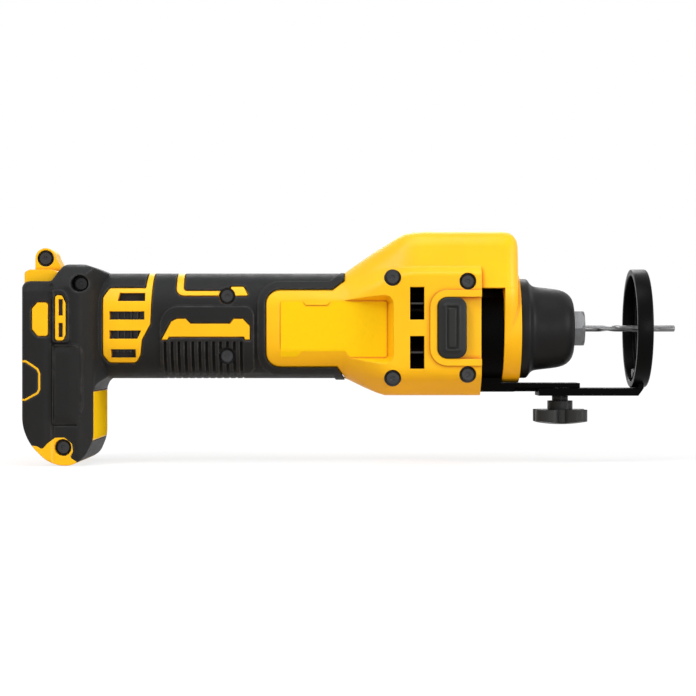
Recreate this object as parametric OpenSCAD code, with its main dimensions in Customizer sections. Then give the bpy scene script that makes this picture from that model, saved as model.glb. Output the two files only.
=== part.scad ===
// Cordless drywall cut out tool: clamshell body, spindle with a guide-point cutter, and a depth guide.
// +X runs along the spindle towards the cutter, +Z is up, and the origin is on the spindle axis
// at the front face of the collet nut. Millimetres.

/* [Cutter and collet] */
// Diameter of the cutter's shank and guide point
bit_d = 3.175; // [2.4:0.005:4]
// Reach of the cutter's tip ahead of the collet nut
bit_reach = 45.5; // [38:0.5:60]
// Length of the plain guide point
guide_l = 7; // [4:0.5:9]
// Collet nut across its flats
nut_af = 17; // [16:0.5:18]
// Length of the collet nut that stands out of the nose
nut_show = 5.5; // [4:0.5:8]

/* [Nose and neck] */
// Length of the nose cap
nose_l = 27.5; // [26:0.5:34]
// Diameter of the nose cap's flange
nose_flange_d = 49.5; // [46:0.5:52]
// Diameter of the nose cap behind its tip
nose_d = 42; // [38:0.5:44]
// Diameter of the neck that carries the depth guide
neck_d = 45.4; // [43:0.2:47]
// Diameter of the yellow ring in front of the neck
ring_d = 54; // [51:0.5:56]
// Length of the yellow ring
ring_l = 8.5; // [7:0.5:11]
// Length of the open slot round the neck
slot_l = 11.5; // [10:0.5:13]

/* [Motor housing] */
// Length from the slot back to the handle
body_l = 66.5; // [64:0.5:72]
// Width of the motor housing
body_w = 66; // [62:0.5:70]
// Depth of the motor housing below the spindle axis
body_drop = 33; // [31:0.5:36]
// Height of the raised top above the spindle axis
hump_h = 47.5; // [45:0.5:52]
// Thickness of the housing wall
wall = 3; // [2.4:0.1:3.4]
// Radius of the raised top's front edge
hump_round = 7; // [5:0.5:8]

/* [Handle] */
// Length of the handle
handle_l = 122; // [116:1:134]
// Height of the handle
handle_h = 52; // [50:0.5:56]
// Width of the handle
handle_w = 50; // [48:0.5:54]
// Corner radius of the handle
handle_r = 18; // [14:0.5:20]
// Rise of the handle's middle above the spindle axis
handle_rise = 1.25; // [0:0.25:2]
// Thickness of the moulded rubber
grip_t = 2; // [1.6:0.1:2.4]
// Wall of the yellow core under the rubber
core_t = 2.5; // [2:0.1:3]

/* [Battery foot] */
// Depth of the foot along the tool
foot_d = 33.5; // [30:0.5:38]
// Width of the foot
foot_w = 76; // [74:0.5:84]
// Depth of the foot below the spindle axis
foot_low = 66.5; // [62:0.5:74]
// Height of the dock's top above the spindle axis
skirt_top = 22.5; // [21:0.5:25]
// Height of the collar over the handle's root
collar_top = 31; // [30:0.5:33]
// Depth of the battery dock
dock_deep = 14; // [12:0.5:15]
// Width of the battery dock
dock_w = 65; // [60:0.5:66]

/* [Slide switch] */
// Length of a slide button
button_l = 14; // [12:0.5:15]
// Height of a slide button
button_h = 29.4; // [26:0.2:32]
// Forward travel of the slide
switch_travel = 6; // [4:0.5:6]

/* [Depth guide] */
// Width of the guide arms
arm_w = 22; // [20:0.5:26]
// Reach of the bracket's arm ahead of the slot
bracket_l = 50; // [47:0.5:52]
// Diameter of the round shoe
shoe_d = 59; // [56:0.5:64]
// Thickness of the shoe's rim along the spindle
shoe_l = 7.8; // [6:0.2:10]
// Distance of the shoe's front face ahead of the collet nut
shoe_x = 31; // [28:0.2:32]
// Forward travel of the shoe
shoe_out = 6; // [4:0.5:6]
// Rearward travel of the shoe
shoe_in = 12; // [8:0.5:12]
// Width across the thumb knob's lobes
knob_w = 25.8; // [24:0.2:30]

/* [Motor] */
// Outer diameter of the stator
stator_d = 42; // [38:0.5:43]
// Length of the stator
stator_l = 36; // [30:0.5:37]
// Diameter of the rotor
rotor_d = 23; // [20:0.5:24]
// Diameter of the cooling fan
fan_d = 48; // [42:0.5:50]
// Number of fan blades
fan_blades = 13; // [9:1:17]

/* [Hidden] */
$fn = 64;

// Clearances: between separate pieces, between pieces that locate each other, round running shafts
gap = 0.3;
snug = 0.1;
run = 0.05;
// Overrun of every cut, and the least length of a corner
over = 1;
least = 0.02;
// Arc steps of an outline's corner and of a loft's corner
steps = 6;
loft_steps = 4;

// Stations along the tool, from the nose back to the battery
x_nose = -nut_show;
x_flange = x_nose - nose_l;
hump_set = 1.5;
x_hump = x_flange - hump_set;
x_ring = x_flange - ring_l;
x_front = x_ring - slot_l;
x_flare = x_front - body_l;
x_foot = x_flare - handle_l;
x_rear = x_foot - foot_d;
tongue_share = 0.688;
x_tongue = x_foot + tongue_share * handle_l;

yellow = [1, 0.78, 0.1];
rubber = [0.16, 0.16, 0.17];
steel = [0.75, 0.76, 0.78];
dark_steel = [0.3, 0.3, 0.32];

// Outlines: corners are [across, up, radius], counter-clockwise
function unit(v) = v / norm(v);
function left_of(v) = [-v.y, v.x] / norm(v);
function mix(a, b, t) = a + (b - a) * t;

// Exact circular arc in the corner b, between the edges to a and to c
function arc_corner(a, b, c, r, n) =
  let (
    u = unit(a - b),
    v = unit(c - b),
    bend = acos(max(-1, min(1, -(u * v)))),
    reach = max(r * tan(bend / 2), least),
    w = cos(bend / 2)
  )
  [
    for (i = [0:n])
      let (t = i / n, k = pow(1 - t, 2) + 2 * t * (1 - t) * w + pow(t, 2))
        b + reach * (pow(1 - t, 2) * u + pow(t, 2) * v) / k
  ];

// The rounded outline, moved inwards by e
function outline(corners, e = 0, n = steps) =
  let (
    m = len(corners),
    p = [for (q = corners) [q.x, q.y]],
    moved = [
      for (i = [0:m - 1])
        let (in1 = left_of(p[i] - p[(i + m - 1) % m]), in2 = left_of(p[(i + 1) % m] - p[i]))
          p[i] + e * (in1 + in2) / (1 + in1 * in2)
    ]
  )
  [
    for (i = [0:m - 1])
      let (
        a = moved[(i + m - 1) % m],
        b = moved[i],
        c = moved[(i + 1) % m],
        r = corners[i][2] - sign(cross(b - a, c - b)) * e
      )
        each corners[i][2] > 0 ? arc_corner(a, b, c, max(r, least), n) : [b]
  ];

// The +Y half of a section given by its right-hand corners, closed along y0
function half_ring(right, e, y0, n) =
  let (
    m = len(right),
    full = outline(concat(right, [for (i = [m - 1:-1:0]) [-right[i].x, right[i].y, right[i][2]]]), e, n),
    pts = [for (i = [0:len(full) / 2 - 1]) full[i]]
  )
  concat([[y0, pts[0].y]], pts, [[y0, pts[len(pts) - 1].y]]);

// Placing: extrusions along each axis, rods, blocks between two corners, revolves about the spindle
module along_x(x0, x1) translate([x0, 0, 0]) rotate([90, 0, 90]) linear_extrude(x1 - x0) children();
module along_y(y0, y1) translate([0, y1, 0]) rotate([90, 0, 0]) linear_extrude(y1 - y0) children();
module along_z(z0, z1) translate([0, 0, z0]) linear_extrude(z1 - z0) children();
module rod_x(x0, x1, r) translate([x0, 0, 0]) rotate([0, 90, 0]) cylinder(h = x1 - x0, r = r);
module rod_y(y0, y1, r) translate([0, y0, 0]) rotate([-90, 0, 0]) cylinder(h = y1 - y0, r = r);
module rod_z(z0, z1, r) translate([0, 0, z0]) cylinder(h = z1 - z0, r = r);
module tube_x(x0, x1, r, bore) difference() {
  rod_x(x0, x1, r);
  rod_x(x0 - over, x1 + over, bore);
}
module block(a, b) translate(a) cube(b - a);
module revolve_x() rotate([0, 90, 0]) rotate_extrude() children();
module mirror_y() {
  children();
  mirror([0, 1, 0]) children();
}

// A solid through rings of points that run counter-clockwise as seen from +X
module loft(rings) {
  n = len(rings[0]);
  last = (len(rings) - 1) * n;
  polyhedron(
    points = [for (r = rings) each r],
    faces = concat(
      [for (i = [1:n - 2]) [0, i, i + 1]],
      [
        for (j = [0:len(rings) - 2], i = [0:n - 1])
          let (a = j * n + i, b = j * n + (i + 1) % n)
            each [[a, a + n, b + n], [a, b + n, b]]
      ],
      [for (i = [1:n - 2]) [last, last + i + 1, last + i]]
    )
  );
}

// Handle section: a rounded rectangle, its arcs split so that they blend into the motor housing
handle_half_w = handle_w / 2;
handle_half_h = handle_h / 2;
low_fan = 2;
high_fan = 3;
function arc_fan(c, r, a0, a1, k) = [
  for (i = [0:k - 1])
    let (half = (a1 - a0) / k / 2, a = a0 + half * (2 * i + 1), d = r / cos(half))
      [c.x + d * cos(a), c.y + d * sin(a), r]
];
handle_corners = concat(
  arc_fan([handle_half_w - handle_r, handle_rise - handle_half_h + handle_r], handle_r, -90, 0, low_fan),
  arc_fan([handle_half_w - handle_r, handle_rise + handle_half_h - handle_r], handle_r, 0, 90, high_fan)
);
function handle_x(share) = x_foot + share * handle_l;
function handle_z(share) = handle_rise + share * handle_half_h;
function on_handle(rows, r = 0) = [
  for (p = rows) [handle_x(p.x), handle_z(p.y), len(p) > 2 ? p[2] * handle_r : r]
];
module handle_half(e, x0, x1, y0 = 0) along_x(x0, x1) polygon(half_ring(handle_corners, e, y0, loft_steps));

// Motor housing section: flat sides, bevelled belly, a ledge, and the narrower raised top
body_half_w = body_w / 2;
belly_shares = [[0.58, -1, 0.21], [1, -0.7, 0.27]];
top_shares = [[1, 0.56, 0.09], [0.865, 0.627, 0.07], [0.75, 1, 0.3]];
body_corners = concat(
  [for (p = belly_shares) [p.x * body_half_w, p.y * body_drop, p[2] * body_half_w]],
  [for (p = top_shares) [p.x * body_half_w, p.y * hump_h, p[2] * body_half_w]]
);
// How far the section has grown from the handle's to the housing's, along body_l
top_rise_shares = [
  [0, 0], [0.04, 0.1], [0.147, 0.345], [0.237, 0.543], [0.3, 0.66], [0.402, 0.876], [0.45, 0.95],
  [0.51, 0.985], [0.6, 1]
];
belly_rise_shares = [[0, 0], [0.04, 0.13], [0.147, 0.545], [0.237, 0.85], [0.3, 1]];
nose_turns = 4;
body_stations = concat(
  [for (p = top_rise_shares) x_flare + p.x * body_l],
  [for (i = [0:nose_turns - 1]) x_hump - hump_round * (1 - sin(90 * i / nose_turns))]
);
function front_inset(x) =
  let (d = max(x - (x_hump - hump_round), 0)) hump_round - sqrt(max(pow(hump_round, 2) - pow(d, 2), 0));
function body_section(x) =
  let (
    share = (x - x_flare) / body_l,
    high = lookup(share, top_rise_shares),
    low = lookup(share, belly_rise_shares),
    grown = [low, low, (low + high) / 2, high, high]
  )
  [for (i = [0:len(body_corners) - 1]) mix(handle_corners[i], body_corners[i], grown[i])];
module body_half(e, x0, x1, y0 = 0) {
  inside = [for (x = body_stations) if (x > x0 + least && x < x1 - least) x];
  loft(
    [
      for (x = concat([x0], inside, [x1]))
        [for (p = half_ring(body_section(x), e + front_inset(x), y0, loft_steps)) [x, p.x, p.y]]
    ]
  );
}

// Hood over the neck: the raised top's sides carried straight down to the slot above the depth guide
hood_shares = [[0.9966, 0.2, 0], [0.75, 1, 0.3]];
hood_corners = [for (p = hood_shares) [p.x * body_half_w, p.y * hump_h, p[2] * body_half_w]];
slot_top_share = 0.41;
module hood_half() difference() {
  loft(
    [
      for (x = concat([x_front - wall], [for (x = body_stations) if (x > x_front) x], [x_hump]))
        [for (p = half_ring(hood_corners, front_inset(x), 0, loft_steps)) [x, p.x, p.y]]
    ]
  );
  block([x_front - wall - over, -over, -body_drop], [x_flange + over, body_w, slot_top_share * hump_h]);
}

// Windows in the rubber of the handle, where the yellow core comes up flush
grille_shares = [
  [0.035, -0.551, 0.12], [0.058, -0.693, 0.12], [0.165, -0.693, 0.12], [0.183, -0.551, 0.1],
  [0.19, -0.263, 0.1], [0.223, 0.027, 0.1], [0.229, 0.66, 0.2], [0.2344, 1.1, 0], [0.213, 1.1, 0],
  [0.205, 0.699, 0.02], [0.06, 0.699, 0.1], [0.035, 0.526, 0.12]
];
grille_slot_shares = [
  [[0.092, 0.459], [0.2025, 0.459], [0.2025, 0.61], [0.1, 0.61]],
  [[0.06, 0.11], [0.2, 0.11], [0.2, 0.263], [0.06, 0.263]],
  [[0.06, -0.25], [0.172, -0.25], [0.187, -0.095], [0.06, -0.095]],
  [[0.0656, -0.602], [0.165, -0.602], [0.165, -0.448], [0.0656, -0.448]]
];
stripe_shares = [
  [0.328, 0.561, 0.2], [0.502, 0.561, 0.03], [0.502, 0.646, 0.03], [0.355, 0.646, 0.1], [0.355, 1.1, 0],
  [0.328, 1.1, 0]
];
chip_shares = [[0.545, 0.561, 0.03], [0.615, 0.561, 0.03], [0.5947, 0.729, 0.03], [0.545, 0.729, 0.03]];
badge_shares = [
  [0.27, -0.265], [0.2926, -0.265], [0.2975, -0.2115], [0.5992, -0.2115], [0.6025, -0.265],
  [0.6213, -0.265], [0.6213, -0.015], [0.594, 0.121], [0.558, 0.121], [0.542, 0.031], [0.385, 0.031],
  [0.3656, 0.123], [0.332, 0.123], [0.309, 0.075]
];
tongue_window_shares = [
  [tongue_share, -0.771, 0.36], [0.972, -0.771, 0], [1, -0.97, 0], [1.1, -0.97, 0], [1.1, 0.833, 0],
  [0.998, 0.833, 0], [0.953, 0.665, 0], [tongue_share, 0.665, 0.36]
];
pad_groove = 0.5;
module handle_windows(shown, e = 0) {
  polygon(outline(on_handle(grille_shares), -e));
  polygon(outline(on_handle(stripe_shares), -e));
  polygon(outline(on_handle(chip_shares), -e));
  if (shown) polygon(outline(on_handle(badge_shares), -e));
}

// Grooves across the palm side of the grip
groove_n = 12;
groove_w = 1.3;
groove_deep = 0.4;
groove_span_shares = [0.278, 0.61];
groove_z_shares = [-1.05, -0.3];
module grip_grooves() {
  pitch = (groove_span_shares[1] - groove_span_shares[0]) * handle_l / groove_n;
  for (i = [0:groove_n - 1])
    translate([handle_x(groove_span_shares[0]) + pitch * i, 0, 0])
      along_x(0, groove_w)
        intersection() {
          difference() {
            polygon(half_ring(handle_corners, -over, 0, loft_steps));
            polygon(half_ring(handle_corners, groove_deep, -over, loft_steps));
          }
          translate([0, handle_z(groove_z_shares[0])])
            square([handle_w, (groove_z_shares[1] - groove_z_shares[0]) * handle_half_h]);
        }
}

// Battery foot: side, plan and rear outlines, each in shares of the foot's own sizes
foot_half_w = foot_w / 2;
function foot_x(share) = x_rear + share * foot_d;
foot_side_shares = [
  [0, -0.705, 0.7], [0.125, -0.85, 0.7], [0.34, -0.957, 0.52], [0.52, -1, 0.38], [0.72, -1, 0.26],
  [0.885, -0.945, 0.28], [1, -0.82, 0.48]
];
foot_brow_shares = [[0.88, 1, 0.25], [0.57, 1, 0.12], [0.42, 0.726, 0.06], [0, 0.726, 0.11]];
foot_root_shares = [[1, -1.2, 0.22], [1.05, -1.075, 0.18], [1.18, -0.96, 0], [1.18, 0.985, 0]];
foot_plan_shares = [
  [0, -1, 0.05], [0.42, -1, 0], [0.46, -0.97, 0], [0.83, -0.95, 0.12], [1, -0.77, 0.12], [1.18, -0.42, 0]
];
foot_edge_shares = [0.12, 0.5];
foot_side = concat(
  [for (p = foot_side_shares) [foot_x(p.x), p.y * foot_low, p[2] * foot_d]],
  [for (p = foot_root_shares) [foot_x(p.x), handle_z(p.y), p[2] * foot_d]],
  [for (p = foot_brow_shares) [foot_x(p.x), p.y * collar_top, p[2] * foot_d]]
);
foot_plan_right = [for (p = foot_plan_shares) [foot_x(p.x), p.y * foot_half_w, p[2] * foot_d]];
foot_plan = concat(
  foot_plan_right,
  [for (i = [len(foot_plan_right) - 1:-1:0]) let (p = foot_plan_right[i]) [p.x, -p.y, p[2]]]
);
foot_rear_right = [
  [foot_half_w, -foot_low - over, foot_edge_shares[0] * foot_half_w],
  [foot_half_w, collar_top + over, foot_edge_shares[1] * foot_half_w]
];
module foot_half(e) intersection() {
  along_y(0, foot_half_w) polygon(outline(foot_side, e));
  along_z(-foot_low - over, collar_top + over) polygon(outline(foot_plan, e));
  along_x(x_rear - over, x_flare) polygon(half_ring(foot_rear_right, e, 0, steps));
}

// Windows in the rubber of the foot, in shares of its depth and of its height below the skirt's top
function foot_z(share) = -foot_low + share * (foot_low + skirt_top);
foot_window_r = 1.3;
function on_foot(rows) = [
  for (p = rows) [foot_x(p.x), foot_z(p.y), len(p) > 2 ? p[2] * foot_d : foot_window_r]
];
pad_shares = [
  [0.154, 0.7404], [0.231, 0.7034], [0.378, 0.7034], [0.378, 0.8837], [0.231, 0.8837], [0.154, 0.8517]
];
vent_frame_shares = [
  [0.483, 0.6787], [0.6, 0.6787], [0.631, 0.71], [0.631, 0.88], [0.58, 0.9225], [0.483, 0.9225]
];
vent_slot_shares = [[0.532, 0.591, 0.697, 0.773], [0.532, 0.591, 0.8135, 0.902]];
bump_shares = [
  [-0.05, 0.351], [0.055, 0.351], [0.24, 0.389], [0.271, 0.411], [0.271, 0.502], [0.24, 0.528],
  [0.068, 0.571], [-0.05, 0.571]
];
bump_line_w = 1;
lug_shares = [
  [0.01, 0.105], [0.2, -0.1], [0.8, -0.1], [0.79, 0.02], [0.69, 0.045], [0.735, 0.075], [0.72, 0.118],
  [0.613, 0.152], [0.48, 0.152], [0.375, 0.121], [0.295, 0.089], [0.228, 0.1056], [0.095, 0.111]
];
module foot_windows(e = 0) {
  polygon(outline(on_foot(pad_shares), -e));
  polygon(outline(on_foot(vent_frame_shares), -e));
  polygon(outline(on_foot(lug_shares)));
  difference() {
    polygon(outline(on_foot(bump_shares)));
    polygon(outline(on_foot(bump_shares), bump_line_w));
  }
}

// Plate across the front of the foot
front_plate_shares = [0.74, 0.132, 0.399];
module front_plate(e) block(
  [x_foot - grip_t - over, -over, foot_z(front_plate_shares[1]) - e],
  [x_foot + over, front_plate_shares[0] * foot_half_w + e, foot_z(front_plate_shares[2]) + e]
);

// Raised panels of the rubber: over the palm, round the tongue and beside the dock
panel_rise = 0.8;
tongue_rim = 4.4;
palm_panel_shares = [[0.262, -0.9, 0.2], [0.64, -0.9, 0.2], [0.64, 0.367, 0.28], [0.262, 0.367, 0.5]];
foot_panel_shares = [
  [0.43, 0.2225], [0.8, 0.2225], [0.88, 0.32], [0.88, 0.656, 0.15], [0.43, 0.656]
];
vent_panel_shares = [[0.43, 0.668], [0.685, 0.668], [0.685, 0.9, 0.1], [0.62, 0.955, 0.1], [0.43, 0.955]];
module raised_panels() {
  intersection() {
    handle_half(-panel_rise, x_foot, x_flare);
    along_y(0, foot_w) {
      polygon(outline(on_handle(palm_panel_shares)));
      polygon(outline(on_handle(tongue_window_shares), -tongue_rim));
    }
  }
  intersection() {
    foot_half(-panel_rise);
    along_y(handle_half_w, foot_w) {
      polygon(outline(on_foot(foot_panel_shares)));
      polygon(outline(on_foot(vent_panel_shares)));
    }
  }
}

// Yellow lug over the dock, with a round ear for its screw
ear_r = 5.1;
ear_w = 9;
ear_shares = [0.221, 1.54];
ear_root_share = 1.2;
ear_slope_shares = [1.9, 0.7, 0.6];
lug_half_w = 0.8 * foot_half_w;
lug_side_shares = [
  [0.01, 0.85, 0], [0.4, 0.85, 0], [0.42, 1, 0], [0.52, 1.2, 0.05], [0.4, 1.26, 0.05], [0.08, 1.26, 0.1],
  [0.01, 1.2, 0.05]
];
module top_lug() {
  along_y(0, lug_half_w)
    polygon(outline([for (p = lug_side_shares) [foot_x(p.x), p.y * skirt_top, p[2] * foot_d]]));
  translate([foot_x(ear_shares.x), 0, 0]) {
    translate([0, 0, ear_shares.y * skirt_top]) rod_y(0, ear_w, ear_r);
    along_y(0, ear_w)
      polygon(
        [
          [-ear_r, ear_root_share * skirt_top], [ear_slope_shares[0] * ear_r, ear_root_share * skirt_top],
          [ear_slope_shares[1] * ear_r, ear_shares.y * skirt_top + ear_slope_shares[2] * ear_r],
          [-ear_r, ear_shares.y * skirt_top]
        ]
      );
  }
}

// Battery dock: a rear cavity, open below, with a rail on each side
x_dock = x_rear + dock_deep;
dock_half_w = dock_w / 2;
dock_top = 0.8 * skirt_top;
dock_wall = 4;
rail_t = 3.5;
rail_w = 4.5;
rail_low = 0.75 * foot_low;
module dock() block([x_rear - over, -over, -foot_low - 2 * over], [x_dock, dock_half_w, dock_top]);
module rail() block(
  [x_rear + grip_t, dock_half_w - rail_w, -rail_low],
  [x_rear + grip_t + rail_t, dock_half_w + wall / 2, dock_top + wall / 2]
);

// Motor stations
stator_share = 0.256;
coil_l = 5;
board_t = 1.6;
x_stator1 = x_flare + stator_share * body_l;
x_stator0 = x_stator1 - stator_l;
x_bulk1 = x_stator0 - coil_l - 2 * board_t;
rear_bearing_w = 6;
rear_bearing_r = 9.5;
rear_shaft_r = 3.5;
front_bearing_w = 8;
front_bearing_r = 13;
shaft_r = 5;
bulk_lip = 1;
x_bulk0 = x_bulk1 - rear_bearing_w - bulk_lip;
rib_t = 3;
rib_shares = [0.18, 0.78];
rib_x = [for (s = rib_shares) x_stator0 + s * stator_l];
spigot_r = 15;
spigot_l = 5;
neck_r = neck_d / 2;

// Control module and the ribs that hold it
module_l_share = 0.41;
module_l = module_l_share * handle_l;
module_half_w = 15;
module_low = 16;
module_high = 18;
module_share = 0.025;
x_module = handle_x(module_share);
module_rib_shares = [0.254, 0.402];
air_half_w = 6;
air_h = 3;
bore_e = grip_t + core_t;

foot_bay_shares = [0.62, -0.88, 0.88];
module handle_bore() {
  cuts = concat(
    [x_dock + dock_wall],
    [for (s = module_rib_shares) each [handle_x(s), handle_x(s) + rib_t]],
    [x_bulk0]
  );
  for (i = [0:2:len(cuts) - 2]) handle_half(bore_e, cuts[i], cuts[i + 1], -over);
  block(
    [x_dock + dock_wall, -over, -module_low - gap],
    [x_module + module_l + gap, module_half_w + gap, module_high + gap]
  );
  block(
    [x_dock + dock_wall, -over, foot_bay_shares[1] * foot_low],
    [foot_x(foot_bay_shares[2]), foot_bay_shares[0] * foot_half_w, 0]
  );
  block(
    [handle_x(module_rib_shares[0]) - over, -over, -module_low - air_h],
    [handle_x(module_rib_shares[1]) + rib_t + over, air_half_w, module_high + air_h]
  );
}
module motor_bay() {
  cuts = concat([x_bulk1], [for (x = rib_x) each [x, x + rib_t]], [x_front - wall]);
  for (i = [0:2:len(cuts) - 2]) body_half(wall, cuts[i], cuts[i + 1], -over);
  rod_x(x_stator0 - coil_l, x_stator1 + over, stator_d / 2 + snug);
  rod_x(x_bulk0 + bulk_lip, x_bulk1 + over, rear_bearing_r + run);
  rod_x(x_bulk0 - over, x_bulk1, rear_shaft_r + over);
  rod_x(x_front - wall - over, x_front + over, spigot_r + snug);
  block([x_bulk0 - over, -over, lead_low_z], [x_bulk1 + over, lead_pitch + 2 * lead_r, lead_high_z]);
}

// Leads: three to the motor, two to the battery
lead_r = 1;
lead_pitch = 5;
lead_slot_h = 6.5;
lead_low_z = rear_bearing_r + lead_r;
lead_high_z = lead_low_z + lead_slot_h;
module lead(a, b) {
  d = b - a;
  translate(a) rotate([0, atan2(d.x, d.z), 0]) cylinder(h = norm(d), r = lead_r);
}

// Screws: places on the side in shares, each with the depth at which its head seats
screw_r = 1.7;
screw_head_r = 3.3;
screw_head_t = 3.2;
screw_pocket_r = 4.1;
screw_boss_r = 5.2;
screw_grip_l = 12;
body_screw_shares = [[0.352, 0.74], [0.352, -0.74], [0.899, 0.685], [0.899, -0.685]];
handle_screw_shares = [[0.53, 0.552], [0.53, -0.573]];
foot_screw_shares = [[0.818, 0.989], [0.59, 0.098]];
body_seat_deep = 4.5;
handle_seat_deep = 5.8;
foot_seat_shares = [0.62, 0.82];
screw_places = concat(
  [for (p = body_screw_shares) [x_flare + p.x * body_l, p.y * body_drop, body_half_w - body_seat_deep]],
  [for (p = handle_screw_shares) [handle_x(p.x), handle_z(p.y), handle_half_w - handle_seat_deep]],
  [
    for (i = [0:len(foot_screw_shares) - 1])
      [foot_x(foot_screw_shares[i].x), foot_z(foot_screw_shares[i].y), foot_seat_shares[i] * foot_half_w]
  ],
  [[foot_x(ear_shares.x), ear_shares.y * skirt_top, ear_w - screw_head_t]]
);
module at_screws() for (p = screw_places) translate([p.x, 0, p.y]) {
  $seat = p[2];
  children();
}
module screw_bosses() intersection() {
  at_screws() rod_y(0, $seat + over / 2, screw_boss_r);
  union() {
    core_half();
    body_half(wall / 2, x_tongue, x_front);
    top_lug();
  }
}
module screw_holes(shown) at_screws()
  if (shown) {
    rod_y(-over, $seat + over, screw_r + gap);
    rod_y($seat, foot_w, screw_pocket_r);
  } else rod_y(-over, min(screw_grip_l + over, $seat - over), screw_r + run);

// Slide switch: the track in the side, the slot for the button's neck and the wall behind it
track_deep = 3;
track_wall = 3.4;
button_share = 0.68;
button_proud = 2;
neck_w = 3.8;
neck_half_h = 4;
x_button = x_flare + button_share * body_l;
neck_set = 0.6;
x_neck = x_button + neck_set;
track_y = body_half_w - track_deep;
track_r = 4.6;
frame_w = 3.4;
frame_rise = 0.8;
module track_outline(e, x1, r1 = least) polygon(
  outline(
    [
      [x_button - e, -button_h / 2 - e, track_r + e], [x1, -button_h / 2 - e, r1],
      [x1, button_h / 2 + e, r1], [x_button - e, button_h / 2 + e, track_r + e]
    ]
  )
);
module switch_frame() along_y(track_y, body_half_w + frame_rise) track_outline(gap + frame_w, x_front);
module switch_wall() block(
  [x_button - gap - rib_t, track_y - track_wall, -button_h / 2 - rib_t],
  [x_front - wall + over / 2, track_y + over / 2, button_h / 2 + rib_t]
);
module switch_cuts() {
  along_y(track_y, foot_w) track_outline(gap, x_front + over);
  block(
    [x_neck - gap, track_y - track_wall - over, -neck_half_h - gap],
    [x_neck + neck_w + switch_travel + gap, track_y + over, neck_half_h + gap]
  );
}

// Outlet vents beside the fan: two on each side, each with a thin bar set back in its mouth
vent_shares = [0.478, 0.582];
vent_z_shares = [0.12, 0.6];
vent_bar = 0.8;
vent_bar_set = 2;
module outlet_vents() {
  mid = (vent_z_shares[0] + vent_z_shares[1]) / 2 * body_drop;
  for (side = [-1, 1], z = [[vent_z_shares[0] * body_drop, mid - vent_bar / 2],
    [mid + vent_bar / 2, vent_z_shares[1] * body_drop]])
    block(
      [x_flare + vent_shares[0] * body_l, body_half_w / 2, min(side * z[0], side * z[1])],
      [x_flare + vent_shares[1] * body_l, body_w, max(side * z[0], side * z[1])]
    );
  for (side = [-1, 1])
    block(
      [x_flare + vent_shares[0] * body_l, body_half_w - vent_bar_set, side * mid - vent_bar],
      [x_flare + vent_shares[1] * body_l, body_w, side * mid + vent_bar]
    );
}

// Flat recess on the shown side, across the tongue and the flank, with drafted walls and a backing
label_deep = 0.5;
label_wall = 2.4;
label_r = 1.6;
label_draft = 0.34;
label_y = handle_half_w - label_deep;
label_x0 = x_tongue + 0.054 * handle_l;
label_x1 = x_flare + 0.317 * body_l;
label_z_shares = [-0.44, 0.406];
label_notch_shares = [
  [[0.162, -0.2], [0.65, -0.2], [0.65, 0], [0.61, 0.08], [0.2, 0.08], [0.162, 0]],
  [[0.203, 1.2], [0.203, 1], [0.24, 0.92], [0.44, 0.92], [0.477, 1], [0.477, 1.2]]
];
function on_label(rows) = [
  for (p = rows)
    [mix(label_x0, label_x1, p.x), mix(label_z_shares[0], label_z_shares[1], p.y) * body_drop, label_r]
];
module label_recess() difference() {
  rise = body_half_w - label_y + over;
  loft(
    [
      for (h = [0, rise])
        let (row = outline(on_label([[0, 0], [1, 0], [1, 1], [0, 1]]), -label_draft * h, loft_steps))
          [for (i = [len(row) - 1:-1:0]) [row[i].x, label_y + h, row[i].y]]
    ]
  );
  along_y(label_y - over, body_w)
    for (rows = label_notch_shares) polygon([for (p = on_label(rows)) [p.x, p.y]]);
}
module label_back() intersection() {
  block(
    [x_flare - wall, label_y - label_wall, label_z_shares[0] * body_drop - 2 * wall],
    [label_x1 + 2 * wall, body_w, label_z_shares[1] * body_drop + 2 * wall]
  );
  body_half(wall / 2, x_tongue, x_front);
}

// Spindle lock: bore through the raised top and the neck
lock_r = 6;
lock_travel = 4;
lock_pin_r = 2.4;
lock_sunk = 0.5;
lock_top = hump_h - lock_sunk;
lock_pocket = 17;
lock_cap_t = 7;
lock_share = 0.32;
x_lock = x_front + lock_share * slot_l;
collar_r = 8.5;
collar_l = 6;
lock_seat_z = hump_h - lock_pocket;
module lock_bore() translate([x_lock, 0, 0]) {
  rod_z(lock_seat_z, hump_h + over, lock_r + gap);
  rod_z(0, lock_seat_z + over, lock_pin_r + snug);
}

// Lamp in the front of the raised top
lamp_half_w = 7;
lamp_h = 7;
lamp_share = 0.68;
lamp_z = lamp_share * hump_h;
lamp_t = 3;
lamp_board_t = 1.6;
lens_r = 14;
module lamp_pocket() block(
  [x_hump - lamp_t - lamp_board_t - 2 * snug, -over, lamp_z - lamp_h / 2 - snug],
  [x_hump + over, lamp_half_w + snug, lamp_z + lamp_h / 2 + snug]
);

// Yellow housing half on +Y; the shown half carries the screw heads, the plain recess and the badge
module grip_fingers() difference() {
  along_x(x_tongue - over, x_flare)
    difference() {
      polygon(half_ring(handle_corners, -2 * over, -over, loft_steps));
      polygon(half_ring(handle_corners, grip_t, -2 * over, loft_steps));
    }
  along_y(-2 * over, foot_w) polygon(outline(on_handle(tongue_window_shares)));
}
module core_half() {
  handle_half(grip_t, x_dock, x_tongue + over);
  foot_half(grip_t);
}
module skin_half() {
  handle_half(0, x_dock, x_tongue);
  foot_half(0);
  raised_panels();
}
module flush_pads(shown) intersection() {
  skin_half();
  union() {
    along_y(0, foot_w) {
      handle_windows(shown);
      foot_windows();
    }
    front_plate(0);
  }
}
module ring_half() intersection() {
  tube_x(x_ring, x_flange, ring_d / 2, neck_r + snug);
  block([x_ring - over, 0, -ring_d], [x_flange + over, ring_d, ring_d]);
}
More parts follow.
